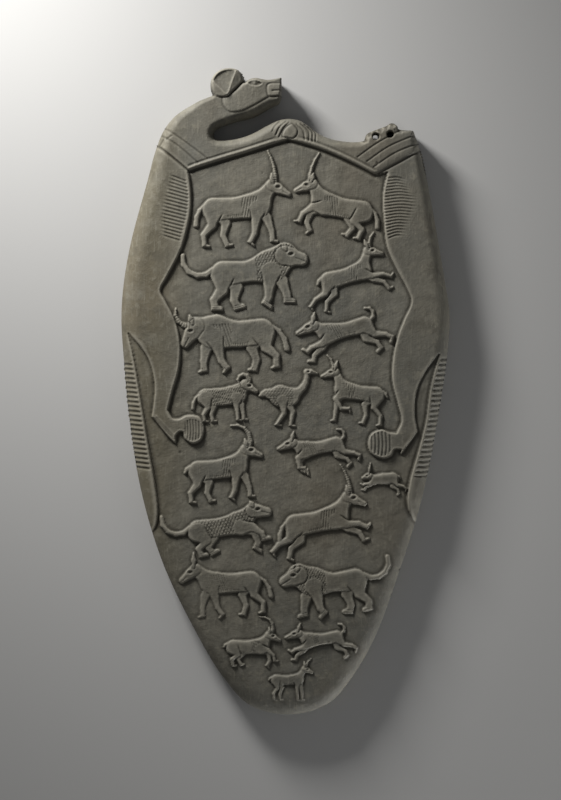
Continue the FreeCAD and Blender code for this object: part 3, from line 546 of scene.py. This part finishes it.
def beast(kind, gait):
    """The parts of a four-footed animal, each a list of rows."""
    shape = ANIMALS[kind]
    hip = (-0.5, 0.0)
    shoulder = (0.5, shape["rise"])
    hip_radius, waist_radius, shoulder_radius = shape["torso"]
    parts = {"body": [[hip + (hip_radius,), (0.0, 0.0, waist_radius), shoulder + (shoulder_radius,)]]}

    length, angle, root_radius, poll_radius = shape["neck"]
    root = reach(shoulder, angle, 0.10)
    poll = reach(root, angle, length)
    chest = (shoulder[0], shoulder[1] + 0.02, min(root_radius * 1.3, shoulder_radius))
    parts["body"].append([chest, root + (root_radius,), poll + (poll_radius,)])

    length, angle, brow_radius, muzzle_radius = shape["head"]
    muzzle = reach(poll, angle, length)
    parts["head"] = [[poll + (brow_radius,), reach(poll, angle, length * 0.38) + (brow_radius * 0.9,),
                      muzzle + (muzzle_radius,)]]
    up = angle + 90
    crown = reach(poll, up, brow_radius * 0.55)
    parts["ear"] = []
    if shape["ear"]:
        ear_angle = up + (30 if kind == "hare" else 38)
        parts["ear"] = [[crown + (0.040,), reach(crown, ear_angle, shape["ear"] / 2) + (0.062,),
                         reach(crown, ear_angle, shape["ear"]) + (0.024,)]]
    parts["horn"] = []
    if shape["horn"] in HORNS:
        first, turn, horn_length, steps, thick, thin = HORNS[shape["horn"]]
        horn_root = reach(crown, angle, length * 0.12)
        parts["horn"] = [bow(horn_root, up + first, turn, horn_length, steps, thick, thin)]
    first, turn, tail_length, steps, thick, thin = TAILS[shape["tail"]]
    parts["tail"] = [bow(reach(hip, 150, hip_radius * 0.86), first, turn, tail_length, steps, thick, thin)]

    hoofed = shape["foot"] == "hoof"
    top = shape["leg"][0]
    hind = (hip[0] - 0.03, hip[1] - 0.05)
    fore = (shoulder[0], shoulder[1] - 0.12)
    near_hind, far_hind, near_fore, far_fore = GAITS[gait]
    parts["far"], parts["near"] = [], []
    for side, lengths, start, angles, thickness in (
            ("far", "hind", (hind[0] + 0.11, hind[1] - 0.02), far_hind, top),
            ("far", "front", (fore[0] + 0.07, fore[1] - 0.01), far_fore, top * 0.85),
            ("near", "hind", hind, near_hind, top * 1.25),
            ("near", "front", fore, near_fore, top)):
        parts[side] += leg(start, shape[lengths], angles, thickness, shape["leg"], hoofed)
    parts["eye"] = [[reach(reach(poll, angle, length * 0.34), up, brow_radius * 0.28) + (brow_radius,)]]
    parts["lip"] = [[reach(muzzle, angle + 180, length * 0.34) + (0.0,),
                     reach(muzzle, angle - 14, muzzle_radius * 1.3) + (0.0,)]]
    return parts


def bird():
    """The parts of a striding ostrich."""
    neck = bow((0.26, 0.06), 20, 80, 0.76, 5, 0.125, 0.062)
    x, y = neck[-1][:2]
    parts = {
        "body": [[(-0.44, 0.06, 0.14), (-0.12, 0.0, 0.31), (0.16, -0.02, 0.26)], neck],
        "head": [[(x, y, 0.085), (x + 0.12, y + 0.01, 0.072), (x + 0.30, y - 0.04, 0.026)]],
        "tail": [bow((-0.42, 0.08), 170, 50, 0.28, 3, 0.14, 0.05)],
        "ear": [], "horn": [], "far": [], "near": [],
        "eye": [[(x + 0.05, y + 0.012, 0.09)]],
        "lip": [[(x + 0.13, y - 0.008, 0.0), (x + 0.25, y - 0.032, 0.0)]],
    }
    for side, hip_x, thigh, shank in (("far", 0.06, 30, -10), ("near", -0.06, 8, -34)):
        knee = reach((hip_x, -0.14), thigh - 90, 0.34)
        ankle = reach(knee, shank - 90, 0.40)
        toe = reach(ankle, -6, 0.13)
        parts[side] = [[(hip_x, -0.14, 0.15), knee + (0.070,), ankle + (0.048,)],
                       [ankle + (0.048,), toe + (0.030,)]]
    return parts


def limb_depth(x, y, row, blend):
    """Distance outside a row of tapering joints, negative inside, and length along it."""
    gap = along = None
    passed = 0.0
    for (ax, ay, ar), (bx, by, br) in zip(row, row[1:]):
        dx, dy = bx - ax, by - ay
        length = max(math.hypot(dx, dy), 1e-6)
        t = np.clip(((x - ax) * dx + (y - ay) * dy) / length ** 2, 0, 1)
        near = np.hypot(x - ax - t * dx, y - ay - t * dy) - (ar + t * (br - ar))
        if gap is None:
            gap, along = near, t * length
        else:
            along = np.where(near < gap, passed + t * length, along)
            gap = smooth_min(gap, near, blend)
        passed += length
    return gap, along


def feet_of(rows):
    """The feet among the rows of a pair of legs: a foot has two joints, a leg more."""
    return [row for row in rows if len(row) == 2]


def above_foot(u, v, foot):
    """Height over the middle line of a foot."""
    (ax, ay, _), (bx, by, _) = foot
    tilt = math.atan2(by - ay, bx - ax)
    return (v - ay) * math.cos(tilt) - (u - ax) * math.sin(tilt)


def coat_cut(coat, u, v, depths, joined, length):
    """Depth of the ribs or locks that are cut into a body."""
    near = depths["near"]
    if coat == "ribs":
        torso = (joined > 0.9) & (near < -0.6)
        chest = (u > 0.14) & (u < 0.50) & (v > -0.3) & (v < 0.24)
        belly = (u > -0.22) & (u < 0.12) & (depths["body"] < length * 0.105) & (v < 0)
        ribs = np.where(torso & chest, stripes(u - 0.16 - v * 0.25, *RIBS), 0)
        return ribs + np.where(torso & belly, stripes(u + v * 0.2, *BELLY_FOLDS), 0)
    if coat in LOCKS:
        pitch, start, stop = LOCKS[coat]
        row_number = np.floor(v / pitch * 1.25)
        cell_u = np.mod(u / pitch + 0.5 * np.mod(row_number, 2), 1.0) - 0.5
        cell_v = np.mod(v / pitch * 1.25, 1.0) - 0.35
        locks = 0.46 * bell(np.hypot(cell_u, cell_v * 0.8) - 0.40, 0.13)
        covered = (joined > 0.7) & (near < -0.3) & (depths["head"] < 0.3) & (u > start) & (u < stop)
        return np.where(covered, locks, 0)
    return 0.0


def carve_animal(kind, gait, length, middle, slope, facing_left):
    """Raises one animal from the floor of the field."""
    parts = bird() if kind == "bird" else beast(kind, gait)
    shape = ANIMALS.get(kind, BIRD)
    rows = np.array([joint[:2] for part in parts.values() for row in part for joint in row])
    cosine, sine = math.cos(math.radians(slope)), math.sin(math.radians(slope))
    side = -1 if facing_left else 1
    corners = np.array([
        ((x * cosine - y * sine) * length * side + middle[0], (x * sine + y * cosine) * length + middle[1])
        for x, y in rows])
    window = front.window(corners, FIGURE_MARGIN)
    along = (front.x[window] - middle[0]) / length * side
    across = (front.y[window] - middle[1]) / length
    # Places in the figure's own measure: u towards its head, v up
    u = along * cosine + across * sine
    v = -along * sine + across * cosine

    def depth(part, blend):
        gap = None
        for row in parts[part]:
            near, _ = limb_depth(u, v, row, 0.03)
            gap = near if gap is None else smooth_min(gap, near, blend)
        if part in ("near", "far"):
            for foot in feet_of(parts[part]):
                ax, ay, ankle = foot[0]
                close = np.hypot(u - ax, v - ay) < 0.28
                gap = np.where(close, np.maximum(gap, -above_foot(u, v, foot) - ankle * SOLE), gap)
        return np.full(u.shape, -9.0) if gap is None else -gap * length

    depths = {part: depth(part, blend) for part, blend in MELT.items()}
    body, head, near, ear = (depths[part] for part in ("body", "head", "near", "ear"))
    joined = -smooth_min(-body, -head, 1.2)
    whole = np.maximum.reduce([joined, *depths.values()])

    raised = np.zeros(u.shape)
    for part, share in LOWER_PARTS:
        raised = np.maximum(raised, swell(depths[part], FIGURE_EDGE, FIGURE_HEIGHT * share))
    mass = -smooth_min(-joined, -near, 1.0)
    raised = np.maximum(raised, swell(mass, FIGURE_EDGE * 1.2, FIGURE_HEIGHT))
    raised += np.where(mass > 0, 0.30 * swell(mass, 6.0, 1.0) - 0.15, 0)
    # Lines down the near thighs set them off from the body and fade out upwards
    outlining = np.zeros(u.shape)
    for row in parts["near"]:
        if len(row) > 2:
            gap, passed = limb_depth(u, v, row, 0.03)
            thigh = math.dist(row[0][:2], row[1][:2])
            outlining = np.maximum(outlining, bell(gap * length, 0.42) * np.clip(passed / thigh * 2.6, 0, 1))
    raised -= np.where(joined > 0, 0.75 * outlining * np.clip(joined * 1.2, 0, 1), 0)
    # The ear stands out of a groove, and another groove marks the jaw
    raised -= np.where(joined > 0.4, 0.5 * bell(ear, 0.5), 0)
    raised = np.maximum(raised, swell(ear, 0.8, FIGURE_HEIGHT * 1.05) * (ear > 0))
    if kind != "bird":
        raised -= np.where((body > 0.6) & (near < -0.4), 0.35 * bell(head, 0.5), 0)

    raised -= coat_cut(shape["coat"], u, v, depths, joined, length)
    for row in parts["horn"]:
        gap, passed = limb_depth(u, v, row, 0.02)
        raised -= np.where(gap < 0, stripes(passed, *HORN_RINGS), 0)
    for foot in feet_of(parts["near"] + parts["far"]):
        gap, passed = limb_depth(u, v, foot, 0.02)
        if shape["foot"] == "paw":
            raised -= np.where(gap < 0.01, stripes(above_foot(u, v, foot), *TOE_LINES), 0)
        if shape["foot"] == "hoof":
            raised -= np.where(gap < 0, 0.4 * bell((passed - 0.03) * length, 0.28), 0)
    for row in parts["lip"]:
        gap, _ = limb_depth(u, v, row, 0.02)
        raised -= np.where(head > -0.3, 0.42 * bell(gap * length, 0.34), 0)
    (eye_u, eye_v, brow), = parts["eye"][0]
    from_eye = np.hypot((u - eye_u) * 0.75, (v - eye_v) * 1.15) * length
    pit = min(max(EYE_PIT[0], brow * length * EYE_SHARE), EYE_PIT[1])
    raised += 0.22 * bell(from_eye - pit * 1.7, 0.42) * (head > 0)
    raised -= 1.2 * bell(from_eye, pit)

    # The floor dips a little round each figure
    floor_dip = 0.16 * bell(np.maximum(-whole, 0), 1.5) * (whole < 0)
    rise = np.where(whole > 0, np.maximum(raised, 0.0), -floor_dip)
    under = relief[window]
    relief[window] = np.where(whole > 0, np.maximum(under, 0), under) + rise * fading[window]


# The outline and its edge rounding, averaged over five points to change smoothly between runs
outline = closed([run for run, _ in OUTLINE])
rounding = np.concatenate([
    np.interp(np.linspace(0, 1, len(spline(run)) - 1), np.linspace(0, 1, len(radii)), radii)
    for run, radii in OUTLINE])
rounding = np.convolve(np.concatenate([rounding[-2:], rounding, rounding[:2]]), np.ones(5) / 5, "valid")


def edge_of(x, y):
    """Signed depth inside the outline, nearest outline point and edge rounding there."""
    ground = Ground(x, y, slack=0.0)
    gap = np.full(x.shape, REACH)
    near_x, near_y = x.copy(), y.copy()
    radius = np.full(x.shape, FAR_ROUNDING)
    for (ax, ay), (bx, by), first, last in zip(
            outline, np.roll(outline, -1, axis=0), rounding, np.roll(rounding, -1)):
        part = ground.window(((ax, ay), (bx, by)), REACH)
        dx, dy = bx - ax, by - ay
        t = np.clip(((x[part] - ax) * dx + (y[part] - ay) * dy) / (dx * dx + dy * dy), 0, 1)
        px, py = ax + t * dx, ay + t * dy
        near = np.hypot(x[part] - px, y[part] - py)
        closer = near < gap[part]
        for kept, new in ((gap, near), (near_x, px), (near_y, py), (radius, first + t * (last - first))):
            kept[part] = np.where(closer, new, kept[part])
    depth = np.where(ground.within(outline), gap, -gap)
    for cx, cy in CORD_HOLES:
        away = np.hypot(x - cx, y - cy)
        hole = away - CORD_HOLE_RADIUS
        closer = hole < depth
        to_hole = CORD_HOLE_RADIUS / np.maximum(away, 1e-6)
        near_x = np.where(closer, cx + (x - cx) * to_hole, near_x)
        near_y = np.where(closer, cy + (y - cy) * to_hole, near_y)
        radius = np.where(closer, CORD_HOLE_FLARE, radius)
        depth = np.where(closer, hole, depth)
    return depth, near_x, near_y, radius


def sheet_of(cell, widen, least=0.0):
    """Grid cells inside the outline, their points moved onto the rounded edge, and the angle there."""
    x, y = np.meshgrid(*(np.arange(-half, half + cell, cell) for half in SHEET_HALF))
    depth, near_x, near_y, radius = edge_of(x, y)
    radius = np.maximum(radius * widen, least)
    middle = (depth[:-1, :-1] + depth[1:, :-1] + depth[:-1, 1:] + depth[1:, 1:]) / 4
    kept = middle > 0
    touching = np.zeros((x.shape[0] + 1, x.shape[1] + 1), int)
    touching[1:-1, 1:-1] = kept
    around = touching[:-1, :-1] + touching[1:, :-1] + touching[:-1, 1:] + touching[1:, 1:]
    used = around > 0
    rim = used & (around < 4)
    turn = np.where(rim, 0.0, np.clip(depth / radius, 0, 1) * math.pi / 2)
    inset = radius * (1 - np.cos(turn))
    pull = np.where(depth < radius, np.clip(1 - inset / np.maximum(np.abs(depth), 1e-6), 0, 1), 0.0)
    pull[rim] = 1.0
    out_x, out_y = near_x - x, near_y - y
    away = np.maximum(np.hypot(out_x, out_y), 1e-9)
    placed_x, placed_y = x + out_x * pull, y + out_y * pull
    return dict(
        u=x, v=y, x=np.where(used, placed_x, x), y=np.where(used, placed_y, y), turn=turn,
        kept=kept, used=used, out_x=out_x / away, out_y=out_y / away,
    )


# Front surface: heights of the carved stone over the grid
sheet = sheet_of(CELL, 1.0)
X, Y = sheet["x"], sheet["y"]
front = Ground(X, Y)
relief = np.zeros(X.shape)
fading = np.ones(X.shape)
for (cx, cy), (across, along), lost in WORN:
    fading -= lost * np.exp(-(((X - cx) / across) ** 2 + ((Y - cy) / along) ** 2))


def waves(table):
    return sum(height * ripple(X, Y, size, seed) for size, height, seed in table)


# Field and the raised sides
field = front.depth_in(closed(FIELD), 14.0)
strips = np.clip((np.abs(X) - STRIP_START) / 4, 0, 1) * np.interp(Y, *STRIP_FILLING) * (Y < STRIP_TOP)
crisp = np.minimum(np.interp(Y, *CRISPNESS), 1 - strips)
base = FLOOR + (FRONT - FLOOR) * swell(-field, WALL, 1.0)
slope_width, slope_rise = SOFT_SLOPE
base += np.where(field > 0, (1 - crisp) * slope_rise * bell(field, slope_width), 0)
base += np.where(field > 0, -0.30 * bell(field, 1.6), 0)
bead_place, bead_width, bead_height = BEAD
bead = bead_height * bell(field + bead_place, bead_width) * (field < 0.2)
base += bead * np.interp(Y, *BEAD_WEAR)

for animal in RELIEF:
    carve_animal(*animal[1:])
in_field = np.clip(field + 0.8, 0, 1)
base += in_field * waves(FIELD_WAVES)
base += (1 - in_field) * waves(SIDE_WAVES)


def groove(points, width, depth, mask=None):
    """Cuts a line into the surface, or raises it where the depth is negative."""
    gap, _ = front.to_line(spline(points), 4 * width)
    cutting = depth * bell(gap, width) * (gap < 3.9 * width)
    if mask is not None:
        cutting = cutting * mask
    relief[...] -= cutting


on_side = field < -0.2
for line in COLLAR_LINES:
    groove(line, 0.5, 0.55, on_side)
for foot in (RIGHT_COLLAR_FOOT, LEFT_COLLAR_FOOT):
    groove(foot, 0.62, 0.75, on_side)
# The last strap of the right collar is a roll, and the flank starts lower below it
(foot_x, foot_y), (end_x, end_y) = RIGHT_COLLAR_FOOT[0], RIGHT_COLLAR_FOOT[-1]
strap = math.hypot(end_x - foot_x, end_y - foot_y)
above = ((Y - foot_y) * (end_x - foot_x) - (X - foot_x) * (end_y - foot_y)) / strap
rolled = np.where(above > 0, np.clip(1 - above / 4.6, 0, 1) ** 2, np.exp(-(above / 15.0) ** 2))
relief -= 0.85 * rolled * on_side * np.clip((X - 55.0) / 3, 0, 1)
# Rounded moulding along the top of the field, with a groove above and a deep one below
beside_pad = np.clip((np.abs(X - CHEVRON_LEFT[-1][0]) - 6.5) / 4, 0, 1)
for chevron in (CHEVRON_LEFT, CHEVRON_RIGHT):
    for up, width, depth, broken_by_pad in MOULDING:
        groove(spline(chevron) + (0.0, up), width, depth, on_side * beside_pad if broken_by_pad else None)
for toe in TOES:
    groove(toe, 0.44, 0.62)
    groove(np.array(toe) + (0.9 if toe[0][0] > 5 else -0.9, 0.3), 0.50, -0.20)
groove(PAD, 0.42, 0.55)
pad = front.depth_in(spline(PAD), 6.0)
relief += 0.45 * swell(pad, 2.2, 1.0)
for left, right, count, sag in MANE_HATCH:
    left, right = spline(left), spline(right)
    outer = max(left, right, key=lambda ends: abs(ends[:, 0]).mean())
    to_end, _ = front.to_line(outer, MANE_FADE)
    taper = on_side * np.clip(to_end / MANE_FADE, 0.15, 1)
    for share in np.linspace(0, 1, count):
        start, stop = share_of(left, share), share_of(right, share)
        groove((start, (start + stop) / 2 + (0, sag), stop), 0.48, 0.64, taper)
for side, inner, first, last, count, tilt in TAIL_STRIPES:
    inner = spline(inner)
    order = np.argsort(inner[:, 1])
    beyond = (X - np.interp(Y, inner[order, 1], inner[order, 0])) * side
    level = Y - tilt * X * side
    striped = (beyond > STRIPE_MARGIN) & (Y < first - tilt * X * side) & (Y > last) & (np.abs(X) > 60)
    fade_in = np.clip((beyond - STRIPE_MARGIN) / 1.2, 0, 1)
    relief -= np.where(striped, stripes(level - last, (first - last) / count, 0.24, 0.75) * fade_in, 0)

# Hind paws: a round bundle of toes
for cx, cy, size, count in HIND_PAWS:
    bent = X - cx + (Y - cy) ** 2 * 0.012
    inside = (np.hypot(X - cx, Y - cy) < size * 0.82) & (
        X > cx - size * 0.55 if cx < 0 else X < cx + size * 0.62)
    relief -= np.where(inside, stripes(bent, size * 1.5 / count, 0.19, 0.55), 0)
for line in LEG_LINES:
    groove(*line)

# Head of the left hound
on_head = (Y > 181) & (X > -50) & (X < 0)
ear_plate = front.depth_in(closed((EAR, EAR_FOOT)), 12.0)
cheek = front.depth_in(closed(CHEEK_CLOSED), 10.0)
relief += np.where(on_head & (ear_plate < 0), swell(cheek, 3.6, HEAD_TOP - FRONT), 0)
groove(CHEEK, 0.55, 0.30)
relief += swell(ear_plate, 2.0, EAR_TOP - FRONT)
for (px, py), (down_x, down_y), fall in EAR_SIDES:
    below = np.clip((X - px) * down_x + (Y - py) * down_y, 0, 7)
    relief -= np.where(ear_plate > 0, fall * below, 0)
ear_hollow = front.depth_in(closed(EAR_HOLLOW), 8.0)
from_rim = (X - HOLLOW_RIM[0]) * HOLLOW_SLANT - (Y - HOLLOW_RIM[1]) * HOLLOW_SLANT
hollow_depth = np.clip(HOLLOW_DEPTH - HOLLOW_RISE * from_rim, 0.1, HOLLOW_DEPTH)
relief -= np.where(ear_hollow > -0.6, hollow_depth * swell(ear_hollow + 0.3, 0.9, 1.0), 0)
groove(EAR_RIDGE, 0.5, -0.25)
groove(EAR_FOOT, 0.6, 0.35)
groove(EAR_FOLD, 0.8, 0.5)
eye = front.depth_in(closed((EYE_TOP, EYE_FOOT)), 6.0)
groove(EYE_TOP, 0.45, -0.18)
groove(np.array(EYE_FOOT) + (0, -0.7), 0.45, -0.24)
relief -= 1.0 * swell(eye, 0.8, 1.0)
relief += np.where(eye > 0, 0.75 * bell(np.hypot(X - PUPIL[0], Y - PUPIL[1]), 1.5), 0)
box = front.depth_in(closed((MUZZLE_BOX, MUZZLE_END)), 6.0)
relief += np.where(on_head, swell(box, 1.4, 0.35), 0)
groove(MUZZLE_BOX, 0.5, 0.55)
groove(MOUTH, 0.42, 0.7)
groove(NOSE, 0.5, 0.25)

# Broken stump: a rough sloping face behind the break
from_break, _ = front.to_line(np.array(BREAK[2:]), 8.0)
relief -= np.where(Y > 158, np.clip(1.7 + waves(BREAK_WAVES) - from_break * 0.55, 0, 3.2), 0)
for cx, cy, size, deep in CHIPS:
    relief -= deep * bell(np.hypot(X - cx, Y - cy), size)

# The heights are wrapped round the edge: full on top, turned outwards down the side, less so at the break
top = base + relief
cosine, sine = np.cos(sheet["turn"]), np.sin(sheet["turn"])
smooth_top = np.where(Y > 178, FRONT, base)
lift = top - smooth_top
front_z = GIRTH + (smooth_top - GIRTH) * sine + lift * sine
sideways = np.clip(lift, -0.5, 0.0) * cosine * np.interp(from_break, (1.0, 7.0), (0.2, 1.0))
front_x = X + sheet["out_x"] * sideways
front_y = Y + sheet["out_y"] * sideways


def placed(name, data):
    """A new object in the scene."""
    thing = bpy.data.objects.new(name, data)
    bpy.context.scene.collection.objects.link(thing)
    return thing


def make_mesh(name, grid, x, y, z, flip):
    """A mesh of the kept grid cells, in metres, with a flat UV map."""
    kept, used = grid["kept"], grid["used"]
    number = np.full(x.shape, -1)
    number[used] = np.arange(used.sum())
    corners = [number[:-1, :-1][kept], number[:-1, 1:][kept], number[1:, 1:][kept], number[1:, :-1][kept]]
    if flip:
        corners = corners[::-1]
    faces = np.stack(corners, axis=1)
    points = np.clip(np.stack([x[used], y[used], z[used]], axis=1) * MM, cad_low, cad_high)
    mesh = bpy.data.meshes.new(name)
    mesh.from_pydata(points.tolist(), [], faces.tolist())
    uv = np.stack([grid["u"][used], grid["v"][used]], axis=1)
    uv = (uv - uv.min(axis=0)) / (uv.max(axis=0) - uv.min(axis=0)).max()
    layer = mesh.uv_layers.new(name="OFBake")
    layer.data.foreach_set("uv", uv[faces.ravel()].astype(np.float32).ravel())
    mesh.shade_smooth()
    return placed(name, mesh)


def blurred(values, size):
    """Box blur of a grid, both ways, twice."""
    for _ in range(2):
        for axis in (0, 1):
            total = np.cumsum(np.insert(values, 0, 0.0, axis=axis), axis=axis)
            count = values.shape[axis]
            low = np.clip(np.arange(count) - size, 0, count)
            high = np.clip(np.arange(count) + size + 1, 0, count)
            span = (high - low).reshape((-1, 1) if axis == 0 else (1, -1))
            values = (np.take(total, high, axis=axis) - np.take(total, low, axis=axis)) / span
    return values


stone_front = make_mesh("stone_front", sheet, front_x, front_y, front_z, False)
# Depth below the blurred surface: positive in hollows, negative on raised edges. It drives painted shade and
# painted highlight in the stone's colour
painted_shade_and_highlight = blurred(top, 3) - top
attribute = stone_front.data.attributes.new("painted_shade_and_highlight", "FLOAT", "POINT")
attribute.data.foreach_set("value", np.clip(painted_shade_and_highlight[sheet["used"]] * 1.6, -1, 1).astype(np.float32))

# Back: flat, with the round grinding well and its ring
behind = sheet_of(BACK_CELL, BACK_ROUNDING, LEAST_BACK_ROUNDING)
from_rim = np.hypot(behind["x"] - WELL[0], behind["y"] - WELL[1]) - WELL_RADIUS
ring_place, ring_width, ring_depth = WELL_GROOVE
under = WELL_DEPTH * np.clip(-from_rim / WELL_SLOPE, 0, 1)
under += ring_depth * bell(from_rim - ring_place, ring_width)
back_z = GIRTH * (1 - np.sin(behind["turn"])) + under
stone_back = make_mesh("stone_back", behind, behind["x"], behind["y"], back_z, True)


# Stone: its surface is streaked along its height
STREAKS = (4.2, 0.42, 1.0)


def shader_node(tree, kind, **values):
    made = tree.nodes.new(kind)
    for name, value in values.items():
        if name in made.inputs:
            made.inputs[name].default_value = value
        else:
            setattr(made, name, value)
    return made


def linear(red, green, blue):
    """Scene colour of a colour given as 0 to 255 sRGB."""
    return tuple(((c / 255 + 0.055) / 1.055) ** 2.4 for c in (red, green, blue)) + (1.0,)


def siltstone():
    material = bpy.data.materials.new("siltstone")
    material.use_nodes = True
    tree = material.node_tree
    surface = tree.nodes["Principled BSDF"]
    link = tree.links.new
    place = shader_node(tree, "ShaderNodeTexCoord").outputs["Object"]

    def noise(scale, detail=3.0, stretch=None, rough=0.55):
        vector = place
        if stretch:
            mapping = shader_node(tree, "ShaderNodeMapping", Scale=stretch)
            link(place, mapping.inputs["Vector"])
            vector = mapping.outputs["Vector"]
        made = shader_node(tree, "ShaderNodeTexNoise", Scale=scale, Detail=detail, Roughness=rough)
        link(vector, made.inputs["Vector"])
        return made.outputs["Fac"]

    def ramp(source, low, high, first=0.0, last=1.0):
        made = shader_node(tree, "ShaderNodeMapRange")
        for name, value in (("From Min", low), ("From Max", high), ("To Min", first), ("To Max", last)):
            made.inputs[name].default_value = value
        link(source, made.inputs["Value"])
        return made.outputs["Result"]

    def mixed(share, first, second):
        made = tree.nodes.new("ShaderNodeMix")
        made.data_type = "RGBA"
        link(share, made.inputs["Factor"])
        for socket, colour in ((made.inputs[6], first), (made.inputs[7], second)):
            if isinstance(colour, tuple):
                socket.default_value = colour
            else:
                link(colour, socket)
        return made.outputs[2]

    colour = mixed(ramp(noise(16, 4), 0.36, 0.66), linear(107, 104, 94), linear(97, 96, 89))
    # The stone is more olive along its left side and in a few patches, greyer elsewhere
    sideways_place = shader_node(tree, "ShaderNodeSeparateXYZ")
    link(place, sideways_place.inputs["Vector"])
    colour = mixed(ramp(sideways_place.outputs["X"], -0.060, -0.086, 0.0, 0.7), colour, linear(97, 91, 74))
    # Patches, mottling, grain, streaks and specks: source, its range, share, colour
    specks = shader_node(tree, "ShaderNodeTexVoronoi", Scale=320.0)
    link(place, specks.inputs["Vector"])
    for source, low, high, share, shade in (
            (noise(9, 3, (1.0, 0.8, 1.0)), 0.54, 0.74, 0.5, (112, 102, 84)),
            (noise(52, 5, rough=0.65), 0.52, 0.70, 0.6, (124, 121, 110)),
            (noise(83, 5, rough=0.65), 0.54, 0.72, 0.6, (82, 79, 70)),
            (noise(240, 4, rough=0.65), 0.54, 0.70, 0.6, (125, 121, 108)),
            (noise(210, 3, STREAKS), 0.58, 0.70, 0.4, (130, 127, 115)),
            (specks.outputs["Distance"], 0.08, 0.04, 0.7, (150, 146, 132))):
        colour = mixed(ramp(source, low, high, 0.0, share), colour, linear(*shade))
    # Painted shade darkens the hollows of the carving; painted highlight, partly wear, lightens its raised
    # edges
    shade_and_highlight_source = shader_node(tree, "ShaderNodeAttribute", attribute_name="painted_shade_and_highlight")
    # Painted shade: the hollows are darkened towards dark brown-grey
    colour = mixed(ramp(shade_and_highlight_source.outputs["Fac"], 0.04, 0.7, 0.0, 0.62), colour, linear(52, 49, 41))
    # Painted highlight on the raised edges, partly wear: they are lightened towards pale grey
    colour = mixed(ramp(shade_and_highlight_source.outputs["Fac"], -0.05, -0.6, 0.0, 0.5), colour, linear(150, 146, 134))
    link(colour, surface.inputs["Base Color"])
    link(ramp(noise(60, 4), 0.3, 0.7, 0.56, 0.72), surface.inputs["Roughness"])
    surface.inputs["Specular IOR Level"].default_value = 0.27

    def bump(height, distance, strength, under=None):
        made = shader_node(tree, "ShaderNodeBump", Strength=strength, Distance=distance)
        link(height, made.inputs["Height"])
        if under:
            link(under, made.inputs["Normal"])
        return made.outputs["Normal"]

    normal = bump(noise(950, 3), 0.00014, 0.7)
    normal = bump(noise(210, 3, STREAKS), 0.00016, 0.6, normal)
    normal = bump(noise(120, 5, rough=0.62), 0.0010, 0.6, normal)
    link(normal, surface.inputs["Normal"])
    return material


stone = siltstone()
for piece in (stone_front, stone_back):
    piece.data.materials.append(stone)
    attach(piece, "root")
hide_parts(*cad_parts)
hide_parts("stone_slab", "grinding_well_ring")

# Studio
FLOOR_HALF = 3.0
PAPER = (0.50, 0.50, 0.495, 1)
WORLD_LIGHT = 0.125
# Lamps: name, place, target, width and height, power, colour, spread. The last is a strip below the
# top of the stone that lights only its lower right edge.
LAMPS = (
    ("key", (-0.37, 0.56, 0.245), (-0.04, 0.04, 0.0), (0.18, 0.18), 1.95, (1.0, 0.985, 0.96), 90),
    ("fill", (0.9, -0.5, 0.55), (0.0, 0.0, 0.0), (0.6, 0.6), 0.8, (1, 1, 1), 180),
    ("edge", (0.37, -0.50, 0.011), (0.0, -0.02, 0.011), (0.5, 0.012), 0.2, (1, 1, 1), 36),
)
# Camera: straight above, seen through a long lens
FRAME_HEIGHT = 0.5234
LENS = 120.0
SENSOR = 36.0
CENTRE = (-0.0033, -0.0056)

floor_mesh = bpy.data.meshes.new("studio_floor")
floor_mesh.from_pydata(
    [(x * FLOOR_HALF, y * FLOOR_HALF, 0) for x, y in ((-1, -1), (1, -1), (1, 1), (-1, 1))],
    [], [(0, 1, 2, 3)])
studio_floor = placed("studio_floor", floor_mesh)
paper = bpy.data.materials.new("studio_paper")
paper.use_nodes = True
sockets = paper.node_tree.nodes["Principled BSDF"].inputs
sockets["Base Color"].default_value = PAPER
sockets["Roughness"].default_value = 0.9
floor_mesh.materials.append(paper)

world = bpy.data.worlds.new("studio")
bpy.context.scene.world = world
world.use_nodes = True
sockets = world.node_tree.nodes["Background"].inputs
sockets["Color"].default_value = (1, 1, 1, 1)
sockets["Strength"].default_value = WORLD_LIGHT

for name, place, target, size, watts, colour, spread in LAMPS:
    light = bpy.data.lights.new(name, "AREA")
    light.shape = "RECTANGLE"
    light.size, light.size_y = size
    light.energy = watts
    light.spread = math.radians(spread)
    light.color = colour
    lamp = placed(name, light)
    lamp.location = place
    lamp.rotation_euler = (Vector(target) - Vector(place)).to_track_quat("-Z", "Y").to_euler()

lens = bpy.data.cameras.new("camera")
lens.lens = LENS
lens.sensor_width = SENSOR
camera = placed("camera", lens)
camera.location = (*CENTRE, FRAME_HEIGHT * LENS / SENSOR + FRONT * MM)
bpy.context.scene.camera = camera
bpy.context.scene.view_settings.view_transform = "Standard"
